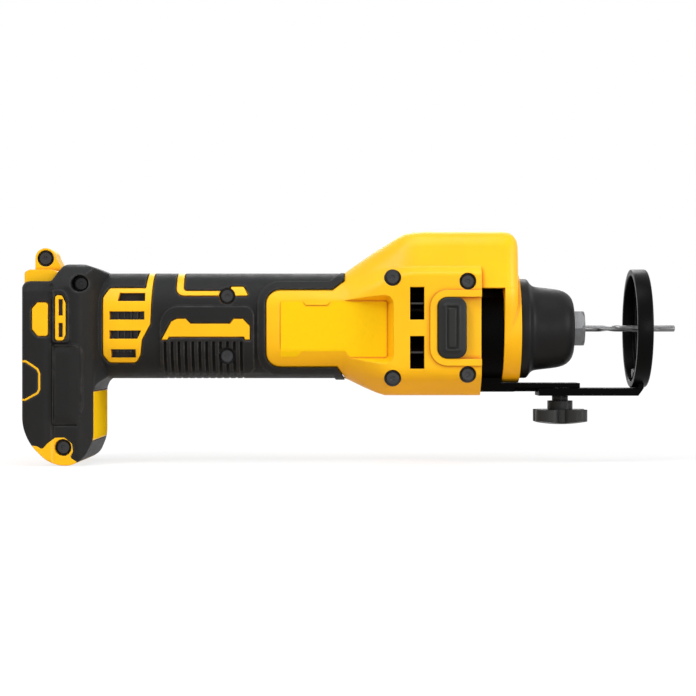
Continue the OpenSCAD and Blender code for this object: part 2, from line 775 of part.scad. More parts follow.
module grille_slots() {
  along_y(handle_half_w / 2, foot_w)
    for (rows = grille_slot_shares) polygon([for (p = on_handle(rows)) [p.x, p.y]]);
  for (s = vent_slot_shares)
    block([foot_x(s[0]), dock_half_w, foot_z(s[2])], [foot_x(s[1]), foot_w, foot_z(s[3])]);
}
module housing_half(shown) difference() {
  union() {
    difference() {
      union() {
        difference() {
          union() {
            body_half(0, x_tongue, x_front);
            hood_half();
          }
          rod_x(x_front, x_flange + over, neck_r + snug);
          grip_fingers();
        }
        ring_half();
        core_half();
        flush_pads(shown);
        top_lug();
      }
      handle_bore();
      motor_bay();
      dock();
      terminal_window();
    }
    rail();
    screw_bosses();
    switch_wall();
    switch_frame();
    if (shown) label_back();
  }
  screw_holes(shown);
  if (shown) label_recess();
  switch_cuts();
  outlet_vents();
  grille_slots();
  lock_bore();
  lamp_pocket();
}
module right_housing() color(yellow) mirror([0, 1, 0]) housing_half(true);
module left_housing() color(yellow) housing_half(false);

// Rubber half on +Y, moulded over the core
module grip_half(shown) difference() {
  union() {
    skin_half();
    handle_half(0, x_tongue - over, x_flare);
  }
  handle_half(grip_t, x_rear, x_flare + over, -over);
  foot_half(grip_t);
  along_y(-over, foot_w) {
    handle_windows(shown, pad_groove);
    foot_windows(pad_groove);
    polygon(outline(on_handle(tongue_window_shares), -pad_groove));
  }
  front_plate(pad_groove);
  top_lug();
  dock();
  rail();
  grip_grooves();
  if (shown) at_screws() rod_y($seat - over, foot_w, screw_pocket_r);
}
module right_grip() color(rubber) mirror([0, 1, 0]) grip_half(true);
module left_grip() color(rubber) grip_half(false);

// Nose cap: flange against the ring, a taper and a rounded front with the nut's opening
nose_wall = 2.5;
nose_flange_l = 5;
nose_waist_shares = [0.94, -0.35, 1];
nose_tip_shares = [0.9, 0.37];
nose_edge_r = 0.4;
flange_edge_r = 1.2;
nose_root_r = 2.3;
nut_r = nut_af / 2 / cos(30);
nose_bore = nut_r + 2 * gap;
module nose_cap() color(rubber) translate([x_nose, 0, 0]) {
  r = nose_d / 2;
  tip = nose_tip_shares[0] * r;
  round = nose_tip_shares[1] * r;
  flange = nose_flange_d / 2;
  step = -nose_l + nose_flange_l;
  revolve_x()
    polygon(
      outline(
        [
          [flange, -nose_l, nose_edge_r], [flange, step, flange_edge_r], [r, step, nose_root_r],
          [nose_waist_shares[0] * r, nose_waist_shares[1] * nose_l, nose_waist_shares[2] * r],
          [tip, 0, round], [nose_bore, 0, nose_edge_r], [nose_bore, -nose_wall, 0],
          [tip - nose_wall, -nose_wall, round - nose_wall], [r - nose_wall, step, nose_edge_r],
          [r - nose_wall, -nose_l, 0]
        ]
      )
    );
}

// Bearing carrier: the neck, its rear spigot, the bearing seat and the lock pin's hole
carrier_bore = 11;
bearing_set = 3;
x_bearing = x_flange - bearing_set;
module bearing_carrier() color(rubber) difference() {
  union() {
    rod_x(x_front + snug, x_flange - snug, neck_r);
    rod_x(x_front - spigot_l, x_front + over, spigot_r);
  }
  rod_x(x_front - spigot_l - over, x_bearing, carrier_bore);
  rod_x(x_bearing - front_bearing_w, x_flange + over, front_bearing_r + run);
  translate([x_lock, 0, 0]) rod_z(0, neck_d, lock_pin_r + gap);
}

// Ball bearings: outer rings in the housing, balls, inner rings on the shaft
front_balls = 8;
rear_balls = 7;
front_ball_r = 2.3;
rear_ball_r = 1.7;
ring_step_share = 0.25;
module bearings() {
  translate([x_bearing - front_bearing_w, 0, 0]) {
    $w = front_bearing_w;
    $outer = front_bearing_r;
    $bore = shaft_r + run;
    $balls = front_balls;
    $ball = front_ball_r;
    children();
  }
  translate([x_bulk0 + bulk_lip, 0, 0]) {
    $w = rear_bearing_w;
    $outer = rear_bearing_r;
    $bore = rear_shaft_r + run;
    $balls = rear_balls;
    $ball = rear_ball_r;
    children();
  }
}
module bearing_rings(inner) bearings() {
  pitch = ($outer + $bore) / 2;
  step = ring_step_share * ($outer - $bore);
  difference() {
    if (inner) tube_x(0, $w, $bore + step, $bore);
    else tube_x(0, $w, $outer, $outer - step);
    revolve_x() translate([pitch, $w / 2]) circle($ball + run);
  }
}
module bearing_outer_rings() color(steel) bearing_rings(false);
module bearing_inner_rings() color(steel) bearing_rings(true);
module bearing_balls() color(steel) bearings()
  for (i = [0:$balls - 1])
    rotate([360 / $balls * i, 0, 0]) translate([$w / 2, 0, ($outer + $bore) / 2]) sphere($ball);

// Motor: slotted stator, coils on its teeth, sensor board, rotor with its magnet sleeve
teeth = 6;
tooth_w = 5;
stator_ring = 4;
air_gap = 0.6;
magnet_t = 2.5;
rotor_r = rotor_d / 2;
stator_r = stator_d / 2;
tooth_tip = rotor_r + air_gap;
tooth_shoe = 2;
coil_in = tooth_tip + tooth_shoe;
coil_out = stator_r - stator_ring - gap;
coil_t = 2.6;
module stator_core() color(dark_steel) {
  tube_x(x_stator0, x_stator1, stator_r, stator_r - stator_ring);
  intersection() {
    tube_x(x_stator0, x_stator1, stator_r - stator_ring / 2, tooth_tip);
    for (i = [0:teeth - 1])
      rotate([360 / teeth * i, 0, 0])
        block([x_stator0, -tooth_w / 2, 0], [x_stator1, tooth_w / 2, stator_r]);
  }
}
module stator_coils() color("peru") for (i = [0:teeth - 1])
  rotate([360 / teeth * i, 0, 0])
    difference() {
      block(
        [x_stator0 - coil_l, -tooth_w / 2 - coil_t, coil_in],
        [x_stator1 + coil_l, tooth_w / 2 + coil_t, coil_out - coil_t / 2]
      );
      block(
        [x_stator0 - snug, -tooth_w / 2 - snug, 0],
        [x_stator1 + snug, tooth_w / 2 + snug, stator_r]
      );
    }
module sensor_board() color("darkgreen")
  tube_x(x_stator0 - coil_l - board_t - gap, x_stator0 - coil_l - gap, coil_out, rotor_r - magnet_t);
module rotor_core() color(dark_steel)
  tube_x(x_stator0, x_stator1, rotor_r - magnet_t - run, shaft_r + run);
module rotor_magnets() color(steel) tube_x(x_stator0, x_stator1, rotor_r, rotor_r - magnet_t);

// Spindle: stepped shaft, lock collar with its holes, threaded nose with the collet's socket
fan_share = 0.46;
x_fan = x_flare + fan_share * body_l;
fan_l = 11;
nose_r = 7;
socket_r = 4.4;
socket_l = 20;
spindle_tip = -4.5;
lock_holes = 6;
module spindle_shaft() color(steel) difference() {
  union() {
    rod_x(x_bulk0 + bulk_lip, x_bulk1 + board_t, rear_shaft_r);
    rod_x(x_bulk1 + board_t, x_bearing, shaft_r);
    rod_x(x_lock - collar_l / 2, x_lock + collar_l / 2, collar_r);
    rod_x(x_bearing, spindle_tip, nose_r);
  }
  rod_x(spindle_tip - socket_l, over, socket_r);
  for (i = [0:lock_holes - 1])
    rotate([360 / lock_holes * i, 0, 0])
      translate([x_lock, 0, 0]) rod_z(shaft_r + snug, collar_r + over, lock_pin_r + gap);
}

// Fan: hub, back plate and swept radial blades
fan_hub_r = 9;
fan_plate = 1.6;
blade_t = 1.4;
blade_sweep = 18;
blade_l = 13.2;
module cooling_fan() color(rubber) difference() {
  union() {
    rod_x(x_fan, x_fan + fan_l, fan_hub_r);
    rod_x(x_fan + fan_l - fan_plate, x_fan + fan_l, fan_d / 2);
    for (i = [0:fan_blades - 1])
      rotate([360 / fan_blades * i, 0, 0])
        translate([0, 0, fan_hub_r])
          rotate([blade_sweep, 0, 0])
            block([x_fan, -blade_t / 2, -blade_t], [x_fan + fan_l, blade_t / 2, blade_l]);
  }
  rod_x(x_fan - over, x_fan + fan_l + over, shaft_r + run);
}

// Collet: a split sleeve with a tapered head under the nut
collet_bore = bit_d / 2 + run;
collet_head_r = 5.6;
collet_head_l = 2.6;
collet_slits = 3;
slit_w = 0.6;
slit_l = 14;
module collet() color(steel) difference() {
  union() {
    rod_x(spindle_tip - socket_l + gap, spindle_tip + gap, socket_r - run);
    translate([spindle_tip + gap, 0, 0])
      rotate([0, 90, 0]) cylinder(h = collet_head_l, r1 = collet_head_r, r2 = socket_r - gap);
  }
  rod_x(spindle_tip - socket_l, over, collet_bore);
  for (i = [0:collet_slits - 1])
    rotate([360 / collet_slits * i, 0, 0])
      block([spindle_tip + collet_head_l - slit_l, -slit_w / 2, 0], [over, slit_w / 2, nose_r]);
}

// Collet nut: hexagon with a turned front, bored for the spindle's thread and the collet's head
nut_l = 16;
nut_lip = 1.2;
nut_face_share = 0.86;
nut_face_l = 1.9;
module collet_nut() color(steel) difference() {
  intersection() {
    rotate([30, 0, 0]) rotate([0, 90, 0]) translate([0, 0, -nut_l]) cylinder(h = nut_l, r = nut_r, $fn = 6);
    revolve_x()
      polygon(
        [
          [0, -nut_l], [nut_r, -nut_l], [nut_r, -nut_face_l], [nut_face_share * nut_r, 0], [0, 0]
        ]
      );
  }
  rod_x(-nut_l - over, spindle_tip + gap, nose_r + run);
  rod_x(spindle_tip, -nut_lip, collet_head_r + gap);
  rod_x(-nut_lip - over, over, socket_r);
}

// Cutter: shank in the collet, spiral flutes and the plain guide point
flute_turns = 1;
flute_rings = 24;
flute_share = 0.62;
flute_sides = 12;
flute_land = 0.6;
x_flute = 3;
x_guide = bit_reach - guide_l;
module cutting_bit() color(steel) {
  rod_x(spindle_tip - socket_l + 2 * gap, x_flute, bit_d / 2);
  loft(
    [
      for (j = [0:flute_turns * flute_rings])
        let (t = j / (flute_turns * flute_rings), x = mix(x_flute - over, x_guide + over, t))
          [
            for (i = [0:flute_sides - 1])
              let (
                a = 360 / flute_sides * i,
                b = a + 360 * flute_turns * t,
                r = (bit_d / 2 - least) * (abs(cos(a)) > flute_land ? 1 : flute_share)
              )
                [x, r * cos(b), r * sin(b)]
          ]
    ]
  );
  rod_x(x_guide, bit_reach, bit_d / 2);
}

// Slide buttons, one on each side, and the yoke that joins them round the spindle
button_rib_shares = [0.36, 0.52, 0.68];
button_rib = 0.8;
button_pad_share = 0.5;
module switch_button() {
  difference() {
    along_y(track_y + gap, body_half_w + button_proud) track_outline(0, x_button + button_l, track_r);
    along_y(body_half_w + button_proud - button_rib, foot_w)
      for (share = button_rib_shares)
        translate([x_button + share * button_l, -button_pad_share * button_h / 2])
          square([button_rib, button_pad_share * button_h]);
  }
  block(
    [x_neck, track_y - track_wall - gap, -neck_half_h],
    [x_neck + neck_w, track_y + 2 * gap, neck_half_h]
  );
}
module right_switch_button() color(rubber) mirror([0, 1, 0]) switch_button();
module left_switch_button() color(rubber) switch_button();

yoke_t = 2.4;
yoke_bore = 11;
yoke_r = 16;
shield_t = 1.2;
post_half_w = 2;
post_share = 0.68;
post_top = post_share * hump_h;
shield_y = track_y - track_wall - gap;
module switch_yoke() color(dark_steel) {
  tube_x(x_neck, x_neck + yoke_t, yoke_r, yoke_bore);
  block([x_neck, -post_half_w, yoke_r - over], [x_neck + yoke_t, post_half_w, post_top]);
  mirror_y() {
    block([x_neck, yoke_r - over, -neck_half_h], [x_neck + yoke_t, shield_y - shield_t / 2, neck_half_h]);
    block(
      [x_neck - switch_travel - over, shield_y - shield_t, -neck_half_h - over],
      [x_neck + neck_w + over, shield_y, neck_half_h + over]
    );
  }
}

// Power switch that the yoke's post presses
switch_half_w = 6;
switch_h = 11;
switch_low = 3.6;
plunger_l = 1.4;
x_switch1 = x_front - wall - snug;
x_switch0 = x_neck + yoke_t + switch_travel + plunger_l;
plunger_r = 1.2;
module power_switch() color(rubber) {
  block(
    [x_switch0, -switch_half_w, post_top - switch_low],
    [x_switch1, switch_half_w, post_top - switch_low + switch_h]
  );
  translate([0, 0, post_top - plunger_r])
    rod_x(x_neck + yoke_t + switch_travel + gap, x_switch0 + over, plunger_r);
}

// Control module behind the grille, with finned plates on its sides
sink_t = 1.5;
fin_t = 0.9;
fin_h = 2.8;
fin_n = 8;
sink_share = 0.512;
fin_pitch = sink_share * module_l / fin_n;
sink_set = 1;
sink_low = 12;
sink_high = 14;
module control_module() color(dark_steel)
  block([x_module, -module_half_w, -module_low], [x_module + module_l, module_half_w, module_high]);
module heat_sink() color(steel) mirror_y() {
  block(
    [x_module + sink_set, module_half_w, -sink_low],
    [x_module + sink_set + fin_n * fin_pitch, module_half_w + sink_t, sink_high]
  );
  for (i = [0:fin_n - 1])
    translate([x_module + sink_set + fin_pitch * i, module_half_w + sink_t - over / 2, 0])
      block([0, 0, -sink_low], [fin_t, fin_h + over / 2, sink_high]);
}

// Battery terminals in the dock's wall
block_half_w = 14;
block_low = 19;
block_high = 13;
blade_n = 4;
blade_slot = 2;
blade_w = 0.8;
block_set = 2;
x_block = x_rear + block_set;
module terminal_window() block(
  [x_dock - over, -over, -block_low - snug],
  [x_dock + dock_wall + over, block_half_w + snug, block_high + snug]
);
function blade_y(i) = -block_half_w + 2 * block_half_w * (i + 0.5) / blade_n;
module terminal_block() color(rubber) difference() {
  block([x_block, -block_half_w, -block_low], [x_dock + dock_wall, block_half_w, block_high]);
  for (i = [0:blade_n - 1])
    block(
      [x_block - over, blade_y(i) - blade_slot / 2, -block_low - over],
      [x_dock, blade_y(i) + blade_slot / 2, block_high - 2 * blade_slot]
    );
}
module terminal_blades() color("goldenrod") for (i = [0:blade_n - 1])
  block(
    [x_block + blade_slot, blade_y(i) - blade_w / 2, -block_low + blade_slot],
    [x_dock, blade_y(i) + blade_w / 2, block_high - 3 * blade_slot]
  );
module battery_leads() color("firebrick") for (side = [-1, 1])
  translate([0, side * lead_pitch, 0]) rod_x(x_dock + dock_wall, x_module, lead_r);
module motor_leads() color("darkblue") difference() {
  for (i = [-1:1])
    translate([0, i * lead_pitch, 0])
      lead(
        [x_module + module_l - over, 0, lead_low_z / 4],
        [x_stator0 - coil_l - 2 * board_t, 0, (lead_low_z + lead_high_z) / 2]
      );
  block([x_module, -module_half_w, -module_low], [x_module + module_l, module_half_w, module_high]);
}

module lamp_board() color("darkgreen") block(
  [x_hump - lamp_t - lamp_board_t - snug, -lamp_half_w, lamp_z - lamp_h / 2],
  [x_hump - lamp_t - snug, lamp_half_w, lamp_z + lamp_h / 2]
);
module lamp_lens() color("white") intersection() {
  block(
    [x_hump - lamp_t, -lamp_half_w, lamp_z - lamp_h / 2], [x_hump, lamp_half_w, lamp_z + lamp_h / 2]
  );
  translate([x_hump - lens_r, 0, lamp_z]) sphere(lens_r);
}

// Spindle lock: cap, pin and return spring
spring_wire = 0.9;
spring_r = 4.2;
spring_turns = 4;
spring_ring_n = 8;
spring_sides = 6;
lock_cap_z = lock_top - lock_cap_t;
module lock_button() color(rubber) translate([x_lock, 0, 0]) difference() {
  rod_z(lock_cap_z, lock_top, lock_r);
  rod_z(lock_cap_z - over, lock_cap_z + lock_cap_t / 2, lock_pin_r + run);
}
module lock_pin() color(steel) translate([x_lock, 0, 0])
  rod_z(collar_r + lock_travel + gap, lock_cap_z + lock_cap_t / 2, lock_pin_r);
module lock_spring() color(steel) {
  z0 = lock_seat_z + spring_wire / 2 + snug;
  rise = lock_cap_z - lock_seat_z - spring_wire - 2 * snug;
  rings = spring_turns * spring_ring_n;
  translate([x_lock, 0, 0])
    loft(
      [
        for (j = [0:rings])
          let (a = 360 * j / spring_ring_n, z = z0 + rise * j / rings)
            [
              for (i = [0:spring_sides - 1])
                let (b = -360 * i / spring_sides, r = spring_r + spring_wire / 2 * cos(b))
                  [r * cos(a), r * sin(a), z + spring_wire / 2 * sin(b)]
            ]
      ]
    );
}

module housing_screws() color(dark_steel) mirror([0, 1, 0]) at_screws() {
  rod_y(-min(screw_grip_l, $seat - 2 * over), $seat + over / 2, screw_r);
  rod_y($seat, $seat + screw_head_t, screw_head_r);
}

// Depth guide bracket: a saddle that clips round the neck and a fixed arm with a guide rib
saddle_t = 3.5;
saddle_top = 15;
plate_t = 2.3;
rib_half_w = 4;
rib_h = 2;
shoe_lap = 2.4;
arm_top = -max(ring_d / 2 + snug, shoe_d / 2 - shoe_lap);
arm_mid = arm_top - plate_t;
arm_low = arm_mid - rib_h;
x_arm1 = x_front + bracket_l;
knob_set = 8.8;
slide_tail = 11.5;
x_knob = x_arm1 - knob_set;
thumb_r = 2.5;
nut_w = 8;
nut_t = 3;
arm_half_w = arm_w / 2;
x_slide0 = x_knob - slide_tail;
module depth_bracket() color(rubber) difference() {
  union() {
    intersection() {
      tube_x(x_front + gap, x_ring - gap, neck_r + gap + saddle_t, neck_r + gap);
      block([x_front, -neck_d, -neck_d], [x_ring, neck_d, saddle_top]);
    }
    block([x_front + gap, -arm_half_w, arm_mid], [x_ring - gap, arm_half_w, -neck_r - saddle_t / 2]);
    block([x_front + gap, -arm_half_w, arm_mid], [x_arm1, arm_half_w, arm_top]);
    block([x_front + gap, -rib_half_w, arm_low], [x_arm1, rib_half_w, arm_mid + over / 2]);
    block([x_front + gap, -arm_half_w, arm_low], [x_slide0 - shoe_in - gap, arm_half_w, arm_mid + over / 2]);
  }
  rod_x(x_front - over, x_ring, neck_r + gap);
  translate([x_knob, 0, 0]) {
    rod_z(arm_low - over, arm_top + over, thumb_r + gap);
    block(
      [-nut_w / 2 - snug, -nut_w / 2 - snug, arm_top - nut_t - snug],
      [nut_w / 2 + snug, nut_w / 2 + snug, arm_top + over]
    );
  }
}
module bracket_nut() color(steel) translate([x_knob, 0, 0]) difference() {
  block([-nut_w / 2, -nut_w / 2, arm_top - nut_t], [nut_w / 2, nut_w / 2, arm_top]);
  rod_z(arm_top - nut_t - over, arm_top + over, thumb_r + run);
}

// Sliding arm: a channel that straddles the rib, a slot for the thumb screw and an upturned end
floor_t = 1.7;
tab_t = 2.5;
tab_lap = 9.5;
tab_slope = 2.6;
tab_top = shoe_d / 2 - tab_lap;
slide_top = arm_mid - gap;
slide_low = arm_low - gap - floor_t;
web_t = 2.5;
x_shoe0 = shoe_x - shoe_l;
x_tab1 = shoe_x - web_t;
x_tab0 = x_tab1 - tab_t;
groove_x1 = x_arm1 + shoe_in + over;
module guide_arm() color(rubber) difference() {
  along_y(-arm_half_w, arm_half_w)
    polygon(
      [
        [x_slide0, slide_low], [x_tab1 - tab_slope, slide_low], [x_tab1, -shoe_d / 2 - gap],
        [x_tab1, -tab_top], [x_tab0, -tab_top], [x_tab0, slide_top], [x_slide0, slide_top]
      ]
    );
  block([x_slide0 - over, -rib_half_w - gap, arm_low - gap], [groove_x1, rib_half_w + gap, slide_top + over]);
  for (x = [x_knob - shoe_out, x_knob + shoe_in])
    translate([x, 0, 0]) rod_z(slide_low - over, slide_top, thumb_r + gap);
  block(
    [x_knob - shoe_out, -thumb_r - gap, slide_low - over], [x_knob + shoe_in, thumb_r + gap, slide_top]
  );
  shoe_rivet_holes(snug);
}

// Round shoe: rim with a notch for the arm's end, and a front web with a wide window
rim_t = 3;
window_r = 19;
shoe_round = 1.2;
shoe_edge = 0.5;
rivet_r = 1.5;
rivet_head_r = 2.2;
rivet_share = 0.55;
rivet_head_t = 1;
rivet_rise = 7;
rivet_z = -shoe_d / 2 + rivet_rise;
module shoe_rivet_holes(e) for (side = [-1, 1])
  translate([0, side * rivet_share * arm_half_w, rivet_z]) rod_x(x_tab0 - over, shoe_x + over, rivet_r + e);
module shoe_ring() color(rubber) difference() {
  revolve_x()
    polygon(
      outline(
        [
          [shoe_d / 2, x_shoe0, shoe_edge], [shoe_d / 2, shoe_x, shoe_round],
          [window_r, shoe_x, shoe_edge], [window_r, x_tab1, shoe_edge],
          [shoe_d / 2 - rim_t, x_tab1, shoe_edge], [shoe_d / 2 - rim_t, x_shoe0, shoe_edge]
        ]
      )
    );
  block([x_tab0 - snug, -arm_half_w - snug, -shoe_d], [x_tab1, arm_half_w + snug, -tab_top + snug]);
  shoe_rivet_holes(snug);
}
module shoe_rivets() color(steel) for (side = [-1, 1])
  translate([0, side * rivet_share * arm_half_w, rivet_z]) {
    rod_x(x_tab0 - rivet_head_t, x_tab0, rivet_head_r);
    rod_x(x_tab0 - over / 2, shoe_x - snug, rivet_r);
  }

// Thumb knob: neck, collar and a four-lobed wing with a domed end; its screw
knob_neck_r = 4;
knob_collar_r = 6.3;
knob_neck_h = 2.3;
knob_collar_h = 4.4;
knob_wing_h = 7.4;
knob_dome_r = 71;
lobe_r = 6;
lobe_n = 4;
lobe_place = (knob_w / 2 - lobe_r) / cos(45);
knob_top = slide_low - gap;
wing_top = knob_top - knob_neck_h - knob_collar_h;
module thumb_knob() color(rubber) translate([x_knob, 0, 0]) difference() {
  union() {
    rod_z(knob_top - knob_neck_h - over, knob_top, knob_neck_r);
    rod_z(wing_top - over, knob_top - knob_neck_h, knob_collar_r);
    intersection() {
      along_z(wing_top - knob_wing_h, wing_top) {
        circle(lobe_place);
        for (i = [0:lobe_n - 1]) rotate(45 + 360 / lobe_n * i) translate([lobe_place, 0]) circle(lobe_r);
      }
      translate([0, 0, wing_top - knob_wing_h + knob_dome_r]) sphere(knob_dome_r);
    }
  }
  rod_z(wing_top - knob_wing_h / 2, knob_top + over, thumb_r + run);
}
module thumb_screw() color(steel) translate([x_knob, 0, 0])
  rod_z(wing_top - knob_wing_h / 2, arm_top - snug, thumb_r);

right_housing();
left_housing();
right_grip();
left_grip();
nose_cap();
bearing_carrier();
bearing_outer_rings();
bearing_balls();
bearing_inner_rings();
stator_core();
stator_coils();
sensor_board();
rotor_core();
rotor_magnets();
spindle_shaft();
cooling_fan();
collet();
collet_nut();
cutting_bit();
right_switch_button();
left_switch_button();
switch_yoke();
power_switch();
control_module();
heat_sink();
terminal_block();
terminal_blades();
battery_leads();
motor_leads();
lamp_board();
lamp_lens();
lock_button();
lock_pin();
lock_spring();
housing_screws();
depth_bracket();
bracket_nut();
guide_arm();
shoe_ring();
shoe_rivets();
thumb_knob();
thumb_screw();
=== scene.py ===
"""Cordless drywall cut out tool: the finished look of every piece, laid over the solids in one frame."""

import math

import bmesh
import bpy
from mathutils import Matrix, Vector
from mathutils.bvhtree import BVHTree


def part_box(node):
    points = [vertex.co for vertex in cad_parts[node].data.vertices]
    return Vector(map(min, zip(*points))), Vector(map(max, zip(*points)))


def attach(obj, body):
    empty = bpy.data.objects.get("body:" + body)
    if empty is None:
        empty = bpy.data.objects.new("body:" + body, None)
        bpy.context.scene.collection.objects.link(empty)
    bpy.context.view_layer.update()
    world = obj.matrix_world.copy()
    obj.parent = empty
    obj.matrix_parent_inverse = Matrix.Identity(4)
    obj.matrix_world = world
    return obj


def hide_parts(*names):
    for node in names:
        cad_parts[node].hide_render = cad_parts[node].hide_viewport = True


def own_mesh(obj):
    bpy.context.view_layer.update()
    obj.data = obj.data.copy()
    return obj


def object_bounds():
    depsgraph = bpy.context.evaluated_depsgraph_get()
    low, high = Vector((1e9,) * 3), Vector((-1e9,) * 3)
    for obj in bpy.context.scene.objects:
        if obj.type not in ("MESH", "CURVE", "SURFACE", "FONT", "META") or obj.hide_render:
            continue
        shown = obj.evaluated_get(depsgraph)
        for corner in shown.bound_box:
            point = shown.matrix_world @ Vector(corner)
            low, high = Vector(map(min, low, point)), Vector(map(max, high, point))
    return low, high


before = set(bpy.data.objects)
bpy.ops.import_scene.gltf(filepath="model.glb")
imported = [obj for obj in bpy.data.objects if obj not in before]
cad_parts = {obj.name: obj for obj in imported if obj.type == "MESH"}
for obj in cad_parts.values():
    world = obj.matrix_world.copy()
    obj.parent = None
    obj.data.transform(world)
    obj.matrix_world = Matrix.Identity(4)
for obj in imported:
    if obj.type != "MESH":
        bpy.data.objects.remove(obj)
solid_box = [list(corner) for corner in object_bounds()]


# Clamshell halves: glass-filled nylon, moulded as two shells that meet on the tool's mid-plane. The mould
# leaves a fine spark grain and the edges are rounded. The edges are painted paler, partly as handling wear
# and partly as a painted highlight, and the creases and recesses get a painted orange shade. A cheek on
# each half carries the side of the raised top down into the front ring.
def put_in_scene(name, mesh, finish, body, stands_for=()):
    mesh.materials.clear()
    mesh.materials.append(finish)
    piece = bpy.data.objects.new(name, mesh)
    bpy.context.scene.collection.objects.link(piece)
    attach(piece, body)
    if stands_for:
        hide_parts(*stands_for)
    return piece


def smooth_shaded(mesh, crease):
    mesh.shade_smooth()
    mesh.set_sharp_from_angle(angle=math.radians(crease))
    return mesh


def welded_work(*meshes):
    weld_gap = 2e-6
    work = bmesh.new()
    for mesh in meshes:
        work.from_mesh(mesh)
    bmesh.ops.remove_doubles(work, verts=work.verts, dist=weld_gap)
    return work


def welded_copy(node, crease=30.0):
    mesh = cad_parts[node].data.copy()
    if "custom_normal" in mesh.attributes:
        mesh.attributes.remove(mesh.attributes["custom_normal"])
    work = welded_work(mesh)
    work.to_mesh(mesh)
    work.free()
    return smooth_shaded(mesh, crease)


def mesh_from(work, name):
    mesh = bpy.data.meshes.new(name)
    work.to_mesh(mesh)
    work.free()
    return mesh


def joined(meshes, crease=30.0):
    work = bmesh.new()
    for mesh in meshes:
        work.from_mesh(mesh)
    return smooth_shaded(mesh_from(work, meshes[0].name), crease)


def lofted(name, loops, closed=True):
    seam_gap, crease = 1e-8, 35.0
    work = bmesh.new()
    rings = [[work.verts.new(point) for point in loop] for loop in loops]
    count = len(loops[0])
    for here, there in zip(rings, rings[1:]):
        for i in range(count):
            after = (i + 1) % count
            work.faces.new((here[i], here[after], there[after], there[i]))
    if closed:
        work.faces.new(list(reversed(rings[0])))
        work.faces.new(rings[-1])
    bmesh.ops.remove_doubles(work, verts=work.verts, dist=seam_gap)
    bmesh.ops.recalc_face_normals(work, faces=work.faces)
    return smooth_shaded(mesh_from(work, name), crease)


def ring_cheek(sign):
    hood_front, front_round, ring_back, turns = -0.03453, 0.00710, -0.04147, 8
    outside_from, outside_least, inside_most = 0.025, 0.017, 0.0305
    outline = [
        (0.03069, 0.01962), (0.0310, 0.0180), (0.0311, 0.0165), (0.0310, 0.0145), (0.0306, 0.0115),
        (0.0299, 0.008), (0.0290, 0.004), (0.0280, 0.0), (0.0270, -0.0035), (0.0258, -0.008),
        (0.0228, -0.0085), (0.0226, 0.004), (0.0176, 0.0150), (0.0130, 0.01962),
    ]
    loops = []
    for station in range(turns + 1):
        turn = math.radians(90 * station / turns)
        x = hood_front - front_round * (1 - math.sin(turn)) if station else ring_back
        inset = front_round * (1 - math.cos(turn))
        loop = []
        for y, z in outline:
            drawn_in = max(y - inset, outside_least) if y > outside_from else min(y, inside_most - inset)
            loop.append((x, sign * drawn_in, z))
        loops.append(loop)
    return lofted("ring_cheek", loops)


def blank_finish(name):
    finish = bpy.data.materials.new(name)
    finish.use_nodes = True
    tree = finish.node_tree
    return finish, tree.nodes, tree.links, tree.nodes["Principled BSDF"]


def set_values(node, values):
    for key, value in values.items():
        if hasattr(node, key):
            setattr(node, key, value)
        else:
            node.inputs[key.replace("_", " ").title()].default_value = value
    return node


def add_node(nodes, kind, **values):
    return set_values(nodes.new("ShaderNode" + kind), values)


def blend_colours(nodes, links, factor, first, second):
    mix = nodes.new("ShaderNodeMix")
    mix.data_type = "RGBA"
    links.new(factor, mix.inputs["Factor"])
    for socket, value in ((mix.inputs[6], first), (mix.inputs[7], second)):
        if isinstance(value, bpy.types.NodeSocket):
            links.new(value, socket)
        else:
            socket.default_value = (*value, 1.0)
    return mix.outputs[2]


def rescale(nodes, links, value, low, high, to_low, to_high):
    step = nodes.new("ShaderNodeMapRange")
    links.new(value, step.inputs["Value"])
    for name, number in zip(("From Min", "From Max", "To Min", "To Max"), (low, high, to_low, to_high)):
        step.inputs[name].default_value = number
    return step.outputs["Result"]


def noise_between(nodes, links, noise, to_low, to_high):
    usual_low, usual_high = 0.3, 0.7
    return rescale(nodes, links, noise.outputs["Fac"], usual_low, usual_high, to_low, to_high)


def grain_and_edge(nodes, links, skin, grain, strength, depth, edge):
    rounded = add_node(nodes, "Bevel", samples=4, radius=edge)
    bump = add_node(nodes, "Bump", strength=strength, distance=depth)
    links.new(grain.outputs["Fac"], bump.inputs["Height"])
    links.new(rounded.outputs["Normal"], bump.inputs["Normal"])
    links.new(bump.outputs["Normal"], skin.inputs["Normal"])
    return rounded


